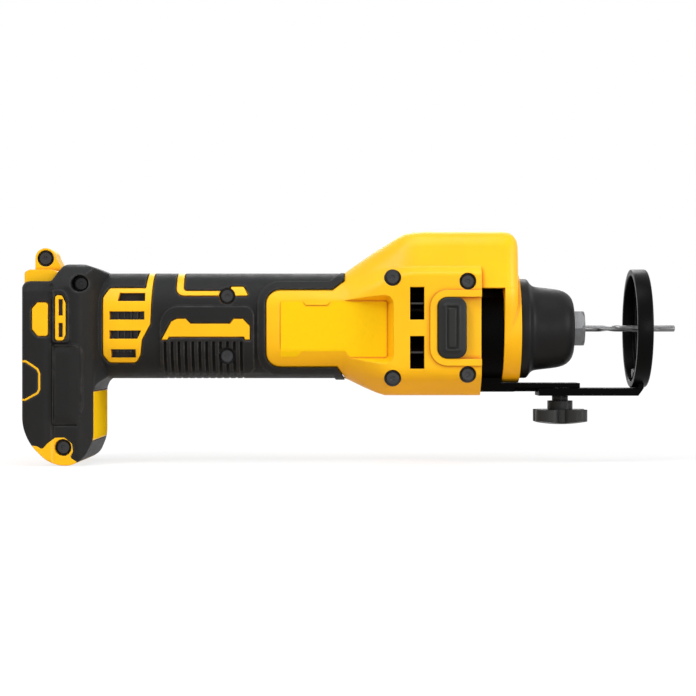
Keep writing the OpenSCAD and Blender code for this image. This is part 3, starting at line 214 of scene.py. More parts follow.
def moulded_finish(
    name, colour, edge_tint, rough, grain_size, grain_depth, edge, edge_tint_share, shine, crease=(0.3, 0.3, 0.3)
):
    cloud_scale, smear_scale, deep_share, light_share = 38.0, 210.0, 0.93, 1.05
    flat_turn, edge_turn = 0.99, 0.8
    patch_low, patch_high, least_patch = 0.4, 0.62, 0.35
    nook_reach, nook_full, nook_clear = 0.0025, 0.5, 0.97
    smoother, rougher = 0.05, 0.06
    finish, nodes, links, skin = blank_finish(name)
    skin.inputs["Specular IOR Level"].default_value = shine
    place = nodes.new("ShaderNodeTexCoord").outputs["Object"]
    cloud = add_node(nodes, "TexNoise", scale=cloud_scale, detail=3.0)
    grain = add_node(nodes, "TexNoise", scale=1.0 / grain_size, detail=2.0)
    smear = add_node(nodes, "TexNoise", scale=smear_scale, detail=4.0)
    for texture in (cloud, grain, smear):
        links.new(place, texture.inputs["Vector"])
    rounded = grain_and_edge(nodes, links, skin, grain, strength=0.5, depth=grain_depth, edge=edge)
    # Edges are painted towards the edge tint in patches: partly as wear, and partly as a painted highlight where
    # the tint is paler and a painted shade where it is darker.
    turn = add_node(nodes, "VectorMath", operation="DOT_PRODUCT")
    links.new(rounded.outputs["Normal"], turn.inputs[0])
    links.new(nodes.new("ShaderNodeNewGeometry").outputs["Normal"], turn.inputs[1])
    patchy = add_node(nodes, "Math", operation="MULTIPLY")
    links.new(rescale(nodes, links, turn.outputs["Value"], flat_turn, edge_turn, 0.0, edge_tint_share), patchy.inputs[0])
    links.new(rescale(nodes, links, smear.outputs["Fac"], patch_low, patch_high, least_patch, 1.0), patchy.inputs[1])
    deep = tuple(part * deep_share for part in colour)
    light = tuple(min(1.0, part * light_share) for part in colour)
    tinted = blend_colours(nodes, links, noise_between(nodes, links, cloud, 0, 1), deep, light)
    edge_tinted = blend_colours(nodes, links, patchy.outputs["Value"], tinted, edge_tint)
    # Painted shade: ambient occlusion over a short reach darkens the colour in creases, recesses and nooks towards
    # the crease shares of the colour.
    nook = add_node(nodes, "AmbientOcclusion", samples=8, only_local=True, distance=nook_reach)
    crease_shade_mask = rescale(nodes, links, nook.outputs["AO"], nook_full, nook_clear, 1.0, 0.0)
    painted_crease_shade = tuple(part * share for part, share in zip(colour, crease))
    links.new(blend_colours(nodes, links, crease_shade_mask, edge_tinted, painted_crease_shade), skin.inputs["Base Color"])
    links.new(noise_between(nodes, links, smear, rough - smoother, rough + rougher), skin.inputs["Roughness"])
    return finish


yellow_nylon = moulded_finish(
    "yellow_nylon", (0.96, 0.53, 0.006), edge_tint=(1.0, 0.62, 0.03), rough=0.42, grain_size=0.0006,
    grain_depth=0.00004, edge=0.0007, edge_tint_share=0.3, shine=0.27, crease=(0.66, 0.3, 0.24),
)
for side, sign in (("right", -1), ("left", 1)):
    shell = joined([welded_copy(side + "_housing"), ring_cheek(sign)])
    put_in_scene(side + "_shell", shell, yellow_nylon, "housing", [side + "_housing"])


# Overmoulded grip: soft black rubber shot over the handle and the foot, with windows to the shell. It is
# matt and faintly mottled; its edges are painted a little greyer, partly as wear where hands rub them and
# partly as a painted highlight, and its creases are painted darker as shade. On the foot's flanks it sinks
# in soft steps round a raised panel.
foot_front = -0.2465


def eased_in(value, start, end):
    share = max(0.0, min(1.0, (value - start) / (end - start)))
    return share * share * (3 - 2 * share)


def foot_relief(x, z):
    strip_depth, rear_depth, panel_depth = 0.0009, 0.0006, 0.0007
    strip_start, strip_end, rear_start, rear_end = -0.2650, -0.2604, -0.2750, -0.2715
    panel_back, panel_rise, panel_front = -0.2602, -0.2530, -0.2475
    panel_low, low_end, high_start, panel_high = -0.0470, -0.0425, -0.0120, -0.0088
    strip = eased_in(x, strip_start, strip_end) if x < panel_back else 0.0
    rear = 1 - eased_in(x, rear_start, rear_end)
    panel = 0.0
    if x >= panel_back and panel_low < z < panel_high:
        panel = max(
            eased_in(x, panel_rise, panel_front), 1 - eased_in(z, panel_low, low_end),
            eased_in(z, high_start, panel_high),
        )
    return strip_depth * strip + rear_depth * rear + panel_depth * panel


def on_flank(face):
    outward, flank_y = 0.9, 0.0355
    middle = face.calc_center_median()
    return abs(face.normal.y) > outward and abs(middle.y) > flank_y and middle.x < foot_front


def soft_foot(mesh, crease=30.0):
    longest, rounds, sliver, skin_y = 0.0014, 6, 2e-6, 0.0362
    work = bmesh.new()
    work.from_mesh(mesh)
    bmesh.ops.triangulate(work, faces=[face for face in work.faces if on_flank(face)])
    for _ in range(rounds):
        edges = [
            edge for edge in work.edges
            if edge.calc_length() > longest and any(on_flank(face) for face in edge.link_faces)
        ]
        if not edges:
            break
        bmesh.ops.subdivide_edges(work, edges=edges, cuts=1)
        bmesh.ops.triangulate(work, faces=[face for face in work.faces if len(face.verts) > 3])
    bmesh.ops.dissolve_degenerate(work, dist=sliver, edges=work.edges)
    for vert in work.verts:
        if abs(vert.co.y) > skin_y and vert.co.x < foot_front:
            vert.co.y -= math.copysign(foot_relief(vert.co.x, vert.co.z), vert.co.y)
    work.to_mesh(mesh)
    work.free()
    return smooth_shaded(mesh, crease)


black_rubber = moulded_finish(
    "black_rubber", (0.0135, 0.0141, 0.0149), edge_tint=(0.095, 0.097, 0.1), rough=0.55, grain_size=0.0005,
    grain_depth=0.00006, edge=0.0018, edge_tint_share=0.8, shine=0.12,
)
for side in ("right", "left"):
    rubber = soft_foot(welded_copy(side + "_grip"))
    put_in_scene(side + "_rubber", rubber, black_rubber, "housing", [side + "_grip"])


# Bare plates: thin satin vinyl, one in the flat recess on the right side and one across the foot's front.
# The side plate is laid down on the shell along its notched outline; the foot's is drawn in from the face.
def plain_finish(name, colour, rough, metal=0.0, speckle=400.0, spread=0.15, shine=0.5):
    rough_spread = 0.06
    finish, nodes, links, skin = blank_finish(name)
    skin.inputs["Metallic"].default_value = metal
    skin.inputs["Specular IOR Level"].default_value = shine
    fleck = add_node(nodes, "TexNoise", scale=speckle, detail=3.0)
    links.new(nodes.new("ShaderNodeTexCoord").outputs["Object"], fleck.inputs["Vector"])
    dark = tuple(part * (1 - spread) for part in colour)
    light = tuple(min(1.0, part * (1 + spread)) for part in colour)
    flecked = blend_colours(nodes, links, noise_between(nodes, links, fleck, 0, 1), dark, light)
    links.new(flecked, skin.inputs["Base Color"])
    uneven = noise_between(nodes, links, fleck, rough - rough_spread, rough + rough_spread)
    links.new(uneven, skin.inputs["Roughness"])
    return finish


def height_on(edge, share):
    for (x0, z0), (x1, z1) in zip(edge, edge[1:]):
        if x0 <= share <= x1:
            return z0 + (z1 - z0) * (share - x0) / (x1 - x0)


def surface_of(node):
    work = bmesh.new()
    work.from_mesh(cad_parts[node].data)
    surface = BVHTree.FromBMesh(work)
    work.free()
    return surface


def right_face_at(surface, x, z):
    reach = 0.1
    return surface.ray_cast(Vector((x, -reach, z)), Vector((0, 1, 0)), reach)[0]


def laid_plate(name, shell, left, right, low, high, upper_edge, lower_edge, thickness):
    spans, rows, crease = 40, 24, 35.0
    surface = surface_of(shell)
    columns = sorted({share for share, _ in upper_edge + lower_edge} | {i / spans for i in range(spans + 1)})
    front, back = [], []
    for share in columns:
        bottom, top = height_on(lower_edge, share), height_on(upper_edge, share)
        for step in range(rows + 1):
            x = left + (right - left) * share
            z = low + (high - low) * (bottom + (top - bottom) * step / rows)
            y = right_face_at(surface, x, z).y
            front.append((x, y - thickness, z))
            back.append((x, y + thickness, z))
    count, under = rows + 1, len(front)
    outer = [
        (c * count + r, (c + 1) * count + r, (c + 1) * count + r + 1, c * count + r + 1)
        for c in range(len(columns) - 1) for r in range(rows)
    ]
    inner = [tuple(corner + under for corner in reversed(face)) for face in outer]
    last = (len(columns) - 1) * count
    border = (
        [c * count for c in range(len(columns))] + [last + r for r in range(1, count)]
        + [c * count + rows for c in range(len(columns) - 2, -1, -1)] + list(range(rows - 1, 0, -1))
    )
    rim = [(b, a, a + under, b + under) for a, b in zip(border, border[1:] + border[:1])]
    mesh = bpy.data.meshes.new(name)
    mesh.from_pydata(front + back, [], outer + inner + rim)
    return smooth_shaded(mesh, crease)


def drawn_in_plate(name, shells, chosen, margin, thickness):
    flat_angle = 0.01
    work = welded_work(*(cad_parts[node].data for node in shells))
    bmesh.ops.delete(work, geom=[face for face in work.faces if not chosen(face)], context="FACES")
    bmesh.ops.dissolve_limit(work, angle_limit=flat_angle, verts=work.verts, edges=work.edges)
    border = bmesh.ops.inset_region(
        work, faces=work.faces, thickness=margin, use_even_offset=True, use_boundary=True
    )
    bmesh.ops.delete(work, geom=border["faces"], context="FACES")
    outward = work.faces[:][0].normal.copy()
    raised = bmesh.ops.extrude_face_region(work, geom=work.faces[:])["geom"]
    lifted = [part for part in raised if isinstance(part, bmesh.types.BMVert)]
    bmesh.ops.translate(work, vec=outward * thickness, verts=lifted)
    return mesh_from(work, name)


foot_depth, plate_top = 0.0335, -0.03
foot_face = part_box("right_grip")[0].x + foot_depth


def on_foot_front(face):
    forward, close = 0.975, 0.0006
    middle = face.calc_center_median()
    return face.normal.x > forward and abs(middle.x - foot_face) < close and middle.z < plate_top


vinyl = plain_finish("vinyl", (0.95, 0.62, 0.01), 0.6, speckle=500.0, spread=0.02, shine=0.0)
plate_t, plate_margin = 0.00015, 0.0003
side_plate = laid_plate(
    "side_plate", "right_housing", left=-0.1505, right=-0.0989, low=-0.014, high=0.0129,
    upper_edge=[(0, 1), (0.195, 1), (0.235, 0.905), (0.445, 0.905), (0.485, 1), (1, 1)],
    lower_edge=[(0, 0), (0.155, 0), (0.193, 0.095), (0.617, 0.095), (0.657, 0), (1, 0)], thickness=plate_t,
)
foot_plate = drawn_in_plate(
    "foot_plate", ["right_housing", "left_housing"], on_foot_front, plate_margin, plate_t
)
for plate in (side_plate, foot_plate):
    put_in_scene(plate.name, plate, vinyl, "housing")


# Nose cap and bearing carrier: black glass-filled nylon, moulded smooth and screwed to the shells.
# The cap flares into a flange against the front ring and closes round the collet's nut.
def dress(name, node, finish, body, crease=30.0):
    put_in_scene(name, welded_copy(node, crease), finish, body, [node])


def angles_round(count):
    return [math.tau * i / count for i in range(count)]


# Its edges are painted a little paler, partly as wear and partly as a painted highlight, and its creases darker as
# painted shade.
black_nylon = moulded_finish(
    "black_nylon", (0.0085, 0.0085, 0.0092), edge_tint=(0.02, 0.02, 0.021), rough=0.46, grain_size=0.0007,
    grain_depth=0.00002, edge=0.0005, edge_tint_share=0.4, shine=0.12,
)
dress("bearing_carrier_moulding", "bearing_carrier", black_nylon, "housing")
nose_length, nose_wall, lip_round, nose_sides = 0.0275, 0.0025, 0.0003, 96
nose_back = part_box("nose_cap")[0].x
nose_bore = min(math.hypot(vert.co.y, vert.co.z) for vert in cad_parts["nose_cap"].data.vertices)
nose_outside = [
    (0.0, 0.02445), (0.0003, 0.02475), (0.0034, 0.02475), (0.0040, 0.0246), (0.0046, 0.0241),
    (0.0053, 0.0231), (0.0060, 0.0222), (0.0068, 0.0215), (0.0078, 0.02102), (0.0095, 0.0207),
    (0.0125, 0.02035), (0.0160, 0.01995), (0.0190, 0.01955), (0.0210, 0.0191), (0.0228, 0.0185),
    (0.0245, 0.0175), (0.0258, 0.0163), (0.0267, 0.0150), (0.0273, 0.0134), (nose_length, 0.0118),
    (nose_length, nose_bore + lip_round), (nose_length - lip_round, nose_bore),
]
lip_back = nose_length - nose_wall
nose_inside = [(lip_back, nose_bore), (lip_back, 0.0110), (0.0225, 0.0162), (0.0190, 0.01705), (0.0, 0.0182)]
nose_loops = [
    [(nose_back + x, radius * math.cos(a), radius * math.sin(a)) for a in angles_round(nose_sides)]
    for x, radius in nose_outside + nose_inside
]
nose_moulding = lofted("nose_cap_moulding", nose_loops + nose_loops[:1], closed=False)
put_in_scene("nose_cap_moulding", nose_moulding, black_nylon, "housing", ["nose_cap"])


# Spindle, bearings, collet and nut: ground and turned steel, with fine rings round the turning axis.
# The shaft carries the inner rings, the collet with its nut and the rotor's magnet sleeve; the outer
# rings and the balls stay with the housing.
def turned_finish(name, colour, rough, ring_size, edge=0.0003):
    along_ring, stain_scale, stain_low, stain_high, stain_share = 8.0, 120.0, 0.35, 0.65, 0.8
    smoother, rougher, ring_depth = 0.07, 0.08, 0.00002
    finish, nodes, links, skin = blank_finish(name)
    skin.inputs["Metallic"].default_value = 1.0
    place = nodes.new("ShaderNodeTexCoord").outputs["Object"]
    stretch = add_node(nodes, "Mapping")
    stretch.inputs["Scale"].default_value = (1.0 / ring_size, along_ring, along_ring)
    links.new(place, stretch.inputs["Vector"])
    rings = add_node(nodes, "TexNoise", scale=1.0, detail=3.0)
    links.new(stretch.outputs["Vector"], rings.inputs["Vector"])
    stain = add_node(nodes, "TexNoise", scale=stain_scale, detail=4.0)
    links.new(place, stain.inputs["Vector"])
    dark = tuple(part * stain_share for part in colour)
    stained = rescale(nodes, links, stain.outputs["Fac"], stain_low, stain_high, 0, 1)
    links.new(blend_colours(nodes, links, stained, dark, colour), skin.inputs["Base Color"])
    links.new(noise_between(nodes, links, rings, rough - smoother, rough + rougher), skin.inputs["Roughness"])
    grain_and_edge(nodes, links, skin, rings, strength=0.3, depth=ring_depth, edge=edge)
    return finish


bright_steel = turned_finish("bright_steel", (0.2, 0.202, 0.206), rough=0.48, ring_size=0.0004)
for node, body in (
    ("bearing_outer_rings", "housing"), ("bearing_balls", "housing"), ("bearing_inner_rings", "spindle"),
    ("spindle_shaft", "spindle"), ("collet", "spindle"), ("collet_nut", "spindle"), ("rotor_magnets", "spindle"),
):
    dress(node + "_turned", node, bright_steel, body)


# Motor: laminated stator and rotor stacks, with the plates' edges showing as fine lines along the axis.
# The fan is moulded in black nylon and the sensor board is green fibreglass, as is the lamp's board.
laminations = turned_finish("laminations", (0.25, 0.25, 0.27), rough=0.45, ring_size=0.0005)
dress("stator_stack", "stator_core", laminations, "housing")
dress("rotor_stack", "rotor_core", laminations, "spindle")
dress("motor_fan", "cooling_fan", black_nylon, "spindle")
green_board = plain_finish("green_board", (0.02, 0.13, 0.05), 0.4)
for node in ("sensor_board", "lamp_board"):
    dress(node + "_plate", node, green_board, "housing")


# Stator windings: enamelled copper wire wound in layers round each tooth, one rounded turn above another.
# A tree winds one turn and sets the same turn round every tooth of the bore.
def tree_with(name, sizes):
    tree = bpy.data.node_groups.new(name, "GeometryNodeTree")
    tree.interface.new_socket("Geometry", in_out="INPUT", socket_type="NodeSocketGeometry")
    sockets = {}
    for label in sizes:
        socket = tree.interface.new_socket(label, in_out="INPUT", socket_type="NodeSocketFloat")
        sockets[label] = socket.identifier
    tree.interface.new_socket("Geometry", in_out="OUTPUT", socket_type="NodeSocketGeometry")
    return tree, sockets, tree.nodes.new("NodeGroupInput").outputs, tree.nodes.new("NodeGroupOutput")


def add_step(tree, kind, links=(), **values):
    node = set_values(tree.nodes.new(kind), values)
    for source, target in links:
        tree.links.new(source, node.inputs[target])
    return node


def read_mark(tree, label):
    mark = add_step(tree, "GeometryNodeInputNamedAttribute", data_type="FLOAT_VECTOR")
    mark.inputs["Name"].default_value = label
    return mark.outputs["Attribute"]


def end_tree(tree, geometry, finish, out):
    real = add_step(tree, "GeometryNodeRealizeInstances", [(geometry, "Geometry")])
    smooth = add_step(tree, "GeometryNodeSetShadeSmooth", [(real.outputs["Geometry"], "Geometry")])
    coat = add_step(tree, "GeometryNodeSetMaterial", [(smooth.outputs["Geometry"], "Geometry")], material=finish)
    tree.links.new(coat.outputs["Geometry"], out.inputs["Geometry"])


def grown_mesh(name, points, tree, sockets, sizes, marks=None):
    seed = bpy.data.meshes.new(name)
    seed.from_pydata(points, [], [])
    for label, values in (marks or {}).items():
        mark = seed.attributes.new(label, "FLOAT_VECTOR", "POINT")
        mark.data.foreach_set("vector", [part for value in values for part in value])
    holder = bpy.data.objects.new(name, seed)
    bpy.context.scene.collection.objects.link(holder)
    grow = holder.modifiers.new("grow", "NODES")
    grow.node_group = tree
    for label, size in sizes.items():
        grow[sockets[label]] = size
    bpy.context.view_layer.update()
    mesh = bpy.data.meshes.new_from_object(holder.evaluated_get(bpy.context.evaluated_depsgraph_get()))
    bpy.data.objects.remove(holder)
    return mesh


copper_wire = plain_finish("copper_wire", (0.5, 0.2, 0.07), 0.28, metal=0.8, speckle=900.0)
winding, wind_sockets, wind_in, wind_out = tree_with("tooth_winding", ("Length", "Width", "Corner", "Wire"))
turn_path = add_step(
    winding, "GeometryNodeCurvePrimitiveQuadrilateral",
    [(wind_in["Length"], "Width"), (wind_in["Width"], "Height")],
)
rounded_turn = add_step(
    winding, "GeometryNodeFilletCurve", [(turn_path.outputs["Curve"], "Curve"), (wind_in["Corner"], "Radius")],
    mode="POLY", count=5,
)
wire = add_step(winding, "GeometryNodeCurvePrimitiveCircle", [(wind_in["Wire"], "Radius")], resolution=8)
swept = add_step(
    winding, "GeometryNodeCurveToMesh",
    [(rounded_turn.outputs["Curve"], "Curve"), (wire.outputs["Curve"], "Profile Curve")],
)
wound = add_step(
    winding, "GeometryNodeInstanceOnPoints",
    [
        (wind_in["Geometry"], "Points"), (swept.outputs["Mesh"], "Instance"),
        (read_mark(winding, "turn"), "Rotation"),
    ],
)
end_tree(winding, wound.outputs["Instances"], copper_wire, wind_out)
tooth_count, winding_r, wire_r, no_crease = 6, 0.01475, 0.00062, 180.0
teeth = angles_round(tooth_count)
coil_low, coil_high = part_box("stator_coils")
stator_middle = (coil_low.x + coil_high.x) / 2
tooth_places = [(stator_middle, -winding_r * math.sin(a), winding_r * math.cos(a)) for a in teeth]
layers = []
for length, width, corner in ((0.039, 0.00644, 0.0025), (0.0416, 0.00892, 0.0035)):
    layers.append(
        grown_mesh(
            "winding_layer", tooth_places, winding, wind_sockets,
            {"Length": length, "Width": width, "Corner": corner, "Wire": wire_r},
            {"turn": [(a, 0.0, 0.0) for a in teeth]},
        )
    )
put_in_scene("stator_windings", joined(layers, no_crease), copper_wire, "housing", ["stator_coils"])


# Cutter: a 1/8 inch high-speed steel bit, ground with two long spiral flutes that fade into a plain
# guide point at the tip and into the shank inside the collet.
bit_low, bit_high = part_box("cutting_bit")
bit_r = (bit_high.z - bit_low.z) / 2
bit_sides, shank_chamfer, tip_chamfer, guide_point = 36, 0.0003, 0.0004, 0.007
flute_start, flute_end = 0.003, bit_high.x - guide_point
flute_depth, flute_twist, flute_steps, fade_in, fade_out = 0.32, math.tau, 120, 0.12, 0.06


def bit_loop(x, radius, depth, twist):
    hollow_power = 0.8
    loop = []
    for a in angles_round(bit_sides):
        r = radius * (1 - depth * max(0.0, math.cos(2 * a)) ** hollow_power)
        loop.append((x, r * math.cos(a + twist), r * math.sin(a + twist)))
    return loop


bit_loops = [
    bit_loop(bit_low.x, bit_r - shank_chamfer, 0, 0), bit_loop(bit_low.x + shank_chamfer, bit_r, 0, 0),
]
for step in range(flute_steps + 1):
    share = step / flute_steps
    x = flute_start + (flute_end - flute_start) * share
    fade = max(0.0, min(1.0, share / fade_in, (1 - share) / fade_out))
    bit_loops.append(bit_loop(x, bit_r, flute_depth * fade, flute_twist * share))
bit_loops += [
    bit_loop(bit_high.x - tip_chamfer, bit_r, 0, flute_twist),
    bit_loop(bit_high.x, bit_r - tip_chamfer, 0, flute_twist),
]
ground_steel = turned_finish("ground_steel", (0.19, 0.191, 0.194), rough=0.34, ring_size=0.0003, edge=0.0001)
cutter_bit = lofted("guide_point_cutter", bit_loops)
put_in_scene("guide_point_cutter", cutter_bit, ground_steel, "spindle", ["cutting_bit"])


# Slide buttons: black nylon caps in tracks on both sides, each with nested finger ridges on its face.
# A yoke inside the shell joins them and presses the power switch.
def rounded_outline(left, right, low, high, corner, steps=6):
    points = []
    for cx, cz, start in (
        (right - corner, high - corner, 0), (left + corner, high - corner, 90),
        (left + corner, low + corner, 180), (right - corner, low + corner, 270),
    ):
        for i in range(steps + 1):
            a = math.radians(start + 90 * i / steps)
            points.append((cx + corner * math.cos(a), cz + corner * math.sin(a)))
    return points


def cap_stem(node, sign, floor, let_in):
    close = 1e-5
    neck = welded_work(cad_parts[node].data)
    above = [face for face in neck.faces if all(abs(vert.co.y) > floor - close for vert in face.verts)]
    bmesh.ops.delete(neck, geom=above, context="FACES")
    rim = bmesh.ops.extrude_edge_only(neck, edges=[edge for edge in neck.edges if edge.is_boundary])["geom"]
    for vert in (part for part in rim if isinstance(part, bmesh.types.BMVert)):
        vert.co.y += sign * let_in
    bmesh.ops.holes_fill(neck, edges=[edge for edge in neck.edges if edge.is_boundary], sides=0)
    bmesh.ops.recalc_face_normals(neck, faces=neck.faces)
    return mesh_from(neck, "stem")


# The edges and ridges of caps, lock cap and knob are painted darker than their faces as painted shade along their
# sides, and their creases darker as painted shade too.
button_nylon = moulded_finish(
    "button_nylon", (0.0205, 0.0220, 0.0228), edge_tint=(0.004, 0.0041, 0.0042), rough=0.42, grain_size=0.0005,
    grain_depth=0.00005, edge=0.0008, edge_tint_share=0.85, shine=0.16,
)
cap_floor, let_in, cap_corner, least_corner, cap_crease = 0.0303, 0.0005, 0.0046, 0.0008, 35.0
ridge_steps = [
    (0.0, 0.0012), (0.0003, 0.0006), (0.0009, 0.0004), (0.003, 0.0005), (0.0033, 0.0001), (0.0037, 0.0),
    (0.0041, 0.0001), (0.0044, 0.0007), (0.005, 0.0007), (0.0053, 0.0001), (0.0057, 0.0001),
]
for side, sign in (("right", -1), ("left", 1)):
    node = side + "_switch_button"
    low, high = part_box(node)
    cap_face = max(abs(low.y), abs(high.y))
    loops = []
    for inset, y in [(0.0, cap_floor)] + [(inset, cap_face - sunk) for inset, sunk in ridge_steps]:
        outline = rounded_outline(
            low.x + inset, high.x - inset, low.z + inset, high.z - inset, max(cap_corner - inset, least_corner)
        )
        loops.append([(x, sign * y, z) for x, z in outline])
    button = joined([lofted("slide_cap", loops), cap_stem(node, sign, cap_floor, let_in)], cap_crease)
    put_in_scene(side + "_slide_cap", button, button_nylon, "switch_slide", [node])
dress("slide_yoke", "switch_yoke", black_nylon, "switch_slide")
dress("microswitch", "power_switch", black_nylon, "housing")


# Vent strips: thin black sheets laid over the set-back bars of the outlet vents beside the fan and across
# the foot's two small slots, a painted shade that darkens these openings.
def shade_strip(sign, left, right, low, high, back, face):
    corner, bevel, corner_steps = 0.00025, 0.0001, 3
    loops = []
    for inset, y in ((0.0, back), (0.0, face - bevel), (bevel, face)):
        outline = rounded_outline(
            left + inset, right - inset, low + inset, high - inset, corner - inset, corner_steps
        )
        loops.append([(x, sign * y, z) for x, z in outline])
    return lofted("shade_strip", loops)


bar_left, bar_right, bar_back, bar_face = -0.0878, -0.0807, 0.0304, 0.03106
bar_middle, bar_half = 0.01188, 0.00046
slot_left, slot_right, slot_back, slot_face = -0.2573, -0.2551, 0.0346, 0.0352
slot_rows = ((-0.0044, 0.0024), (0.0060, 0.0139))
strips = []
for sign in (-1, 1):
    for middle in (-bar_middle, bar_middle):
        strips.append(
            shade_strip(sign, bar_left, bar_right, middle - bar_half, middle + bar_half, bar_back, bar_face)
        )
    for low, high in slot_rows:
        strips.append(shade_strip(sign, slot_left, slot_right, low, high, slot_back, slot_face))
# Near-black sheets: painted shade in the vent and slot openings.
vent_painted_shade = plain_finish("vent_painted_shade", (0.006, 0.0055, 0.005), 0.5)
put_in_scene("vent_shade_strips", joined(strips), vent_painted_shade, "housing")


# Electronics: a potted control module with extruded aluminium fins behind the grille, and the battery
# terminals, bright blades in a black block on the dock's wall.
potting = plain_finish("potting", (0.02, 0.02, 0.022), 0.5)
fin_grey = turned_finish("fin_grey", (0.06, 0.06, 0.063), rough=0.42, ring_size=0.0006)
bright_brass = plain_finish("bright_brass", (0.72, 0.5, 0.18), 0.25, metal=1.0, speckle=700.0)
dress("potted_module", "control_module", potting, "housing")
dress("module_fins", "heat_sink", fin_grey, "housing")
dress("terminal_moulding", "terminal_block", black_nylon, "housing")
dress("contact_blades", "terminal_blades", bright_brass, "housing")


# Leads: stranded wire in soft covers, red to the battery terminals and blue to the motor's three phases.
# They are short links inside the shell, fixed at both ends, and bow a little between them.
def wire_between(name, first, last, bow, radius, sides=10, along=18):
    first, last = Vector(first), Vector(last)
    run = (last - first).normalized()
    across = run.cross(Vector((0, 1, 0))).normalized()
    up = across.cross(run).normalized()
    loops = []
    for step in range(along + 1):
        share = step / along
        middle = first.lerp(last, share) + across * bow * math.sin(math.pi * share) ** 2
        loops.append(
            [middle + radius * (math.cos(a) * across + math.sin(a) * up) for a in angles_round(sides)]
        )
    return lofted(name, loops)


red_cover = plain_finish("red_cover", (0.4, 0.02, 0.015), 0.42)
blue_cover = plain_finish("blue_cover", (0.02, 0.06, 0.25), 0.42)
lead_r, battery_bow, phase_bow = 0.001, 0.0012, 0.001
low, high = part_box("battery_leads")
wires = [
    wire_between("battery_wire", (low.x, y, 0), (high.x, y, 0), battery_bow, lead_r)
    for y in (low.y + lead_r, high.y - lead_r)
]
put_in_scene("battery_wires", joined(wires, no_crease), red_cover, "housing", ["battery_leads"])
low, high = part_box("motor_leads")
wires = [
    wire_between(
        "phase_wire", (low.x + lead_r, y, low.z + lead_r), (high.x - lead_r, y, high.z - lead_r), phase_bow, lead_r
    )
    for y in (low.y + lead_r, 0.0, high.y - lead_r)
]
put_in_scene("phase_wires", joined(wires, no_crease), blue_cover, "housing", ["motor_leads"])


# Lamp: a clear acrylic lens, snapped into the front of the raised top over the lamp's board.
# A faint frosting in it spreads the light over the work.
frost_scale, frost_low, frost_high = 900.0, 0.08, 0.2
lens_clear, nodes, links, skin = blank_finish("lens_clear")
skin.inputs["Base Color"].default_value = (0.93, 0.96, 1.0, 1.0)
skin.inputs["Transmission Weight"].default_value = 0.9
skin.inputs["IOR"].default_value = 1.49
frost = add_node(nodes, "TexNoise", scale=frost_scale, detail=2.0)
links.new(nodes.new("ShaderNodeTexCoord").outputs["Object"], frost.inputs["Vector"])
links.new(noise_between(nodes, links, frost, frost_low, frost_high), skin.inputs["Roughness"])
dress("lamp_cover", "lamp_lens", lens_clear, "housing")


# Spindle lock: a round cap on the raised top, a steel pin under it and a wound return spring between
# the cap and the floor of its pocket.
dress("lock_cap", "lock_button", button_nylon, "spindle_lock")
dress("lock_plunger", "lock_pin", bright_steel, "spindle_lock")
low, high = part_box("lock_spring")
centre = (low + high) / 2
spring_wire, spring_turns, turn_steps, wire_sides, lock_travel = 0.00045, 5, 24, 8, 0.004
spring_r = (high.x - low.x) / 2 - spring_wire
spring_rise = high.z - low.z - 2 * spring_wire
closed_share, open_share, flat_rise = 0.1, 0.8, 0.06
loops = []
for step in range(spring_turns * turn_steps + 1):
    share = step / (spring_turns * turn_steps)
    opened = max(0.0, min(1.0, (share - closed_share) / open_share))
    z = low.z + spring_wire + spring_rise * (flat_rise * share + (1 - flat_rise) * opened)
    a = math.tau * spring_turns * share
    middle, out = Vector((centre.x, centre.y, z)), Vector((math.cos(a), math.sin(a), 0))
    loops.append(
        [
            middle + out * (spring_r + spring_wire * math.cos(b)) + Vector((0, 0, spring_wire * math.sin(b)))
            for b in angles_round(wire_sides)
        ]
    )
spring = put_in_scene("lock_coil", lofted("lock_coil", loops), bright_steel, "housing", ["lock_spring"])
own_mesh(spring)


# Housing screws: black oxide thread-forming screws with a six-lobed socket, each on a black washer that
# fills its pocket; the washer's near-black is a painted shade for the gap round the head. One tree cuts the
# socket, sets a head at each place and stretches a shank to that screw's reach; another sets the washers.
def islands(node):
    work = welded_work(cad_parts[node].data)
    left = set(work.verts)
    boxes = []
    while left:
        group, front = set(), [left.pop()]
        while front:
            vert = front.pop()
            group.add(vert)
            for link in vert.link_edges:
                other = link.other_vert(vert)
                if other in left:
                    left.remove(other)
                    front.append(other)
        corners = [[limit(vert.co[i] for vert in group) for i in range(3)] for limit in (min, max)]
        boxes.append((Vector(corners[0]), Vector(corners[1])))
    work.free()
    return sorted(boxes, key=lambda box: tuple(box[0]))


head_r, head_h, shank_r, round_sides, shank_sides = 0.0029, 0.0032, 0.0017, 40, 24
socket_r, socket_floor, lobe_count, lobe_waist, cutter_gap = 0.0013, 0.0011, 6, 0.7, 1e-6
washer_r, washer_t, metal_crease = 0.00405, 0.0007, 30.0
facing_right = (math.radians(90), 0, 0)
screw_tree, screw_sockets, screw_in, screw_out = tree_with("lobed_screw", ("Head", "Height", "Socket", "Shank"))
head = add_step(
    screw_tree, "GeometryNodeMeshCylinder", [(screw_in["Head"], "Radius"), (screw_in["Height"], "Depth")],
    vertices=round_sides,
)
waist = add_step(screw_tree, "ShaderNodeMath", [(screw_in["Socket"], 0)], operation="MULTIPLY")
waist.inputs[1].default_value = lobe_waist
lobes = add_step(
    screw_tree, "GeometryNodeCurveStar",
    [(screw_in["Socket"], "Outer Radius"), (waist.outputs["Value"], "Inner Radius")], points=lobe_count,
)
lobed_face = add_step(screw_tree, "GeometryNodeFillCurve", [(lobes.outputs["Curve"], "Curve")], mode="NGONS")
raised_floor = add_step(
    screw_tree, "GeometryNodeTransform", [(lobed_face.outputs["Mesh"], "Geometry")],
    translation=(0, 0, socket_floor),
)
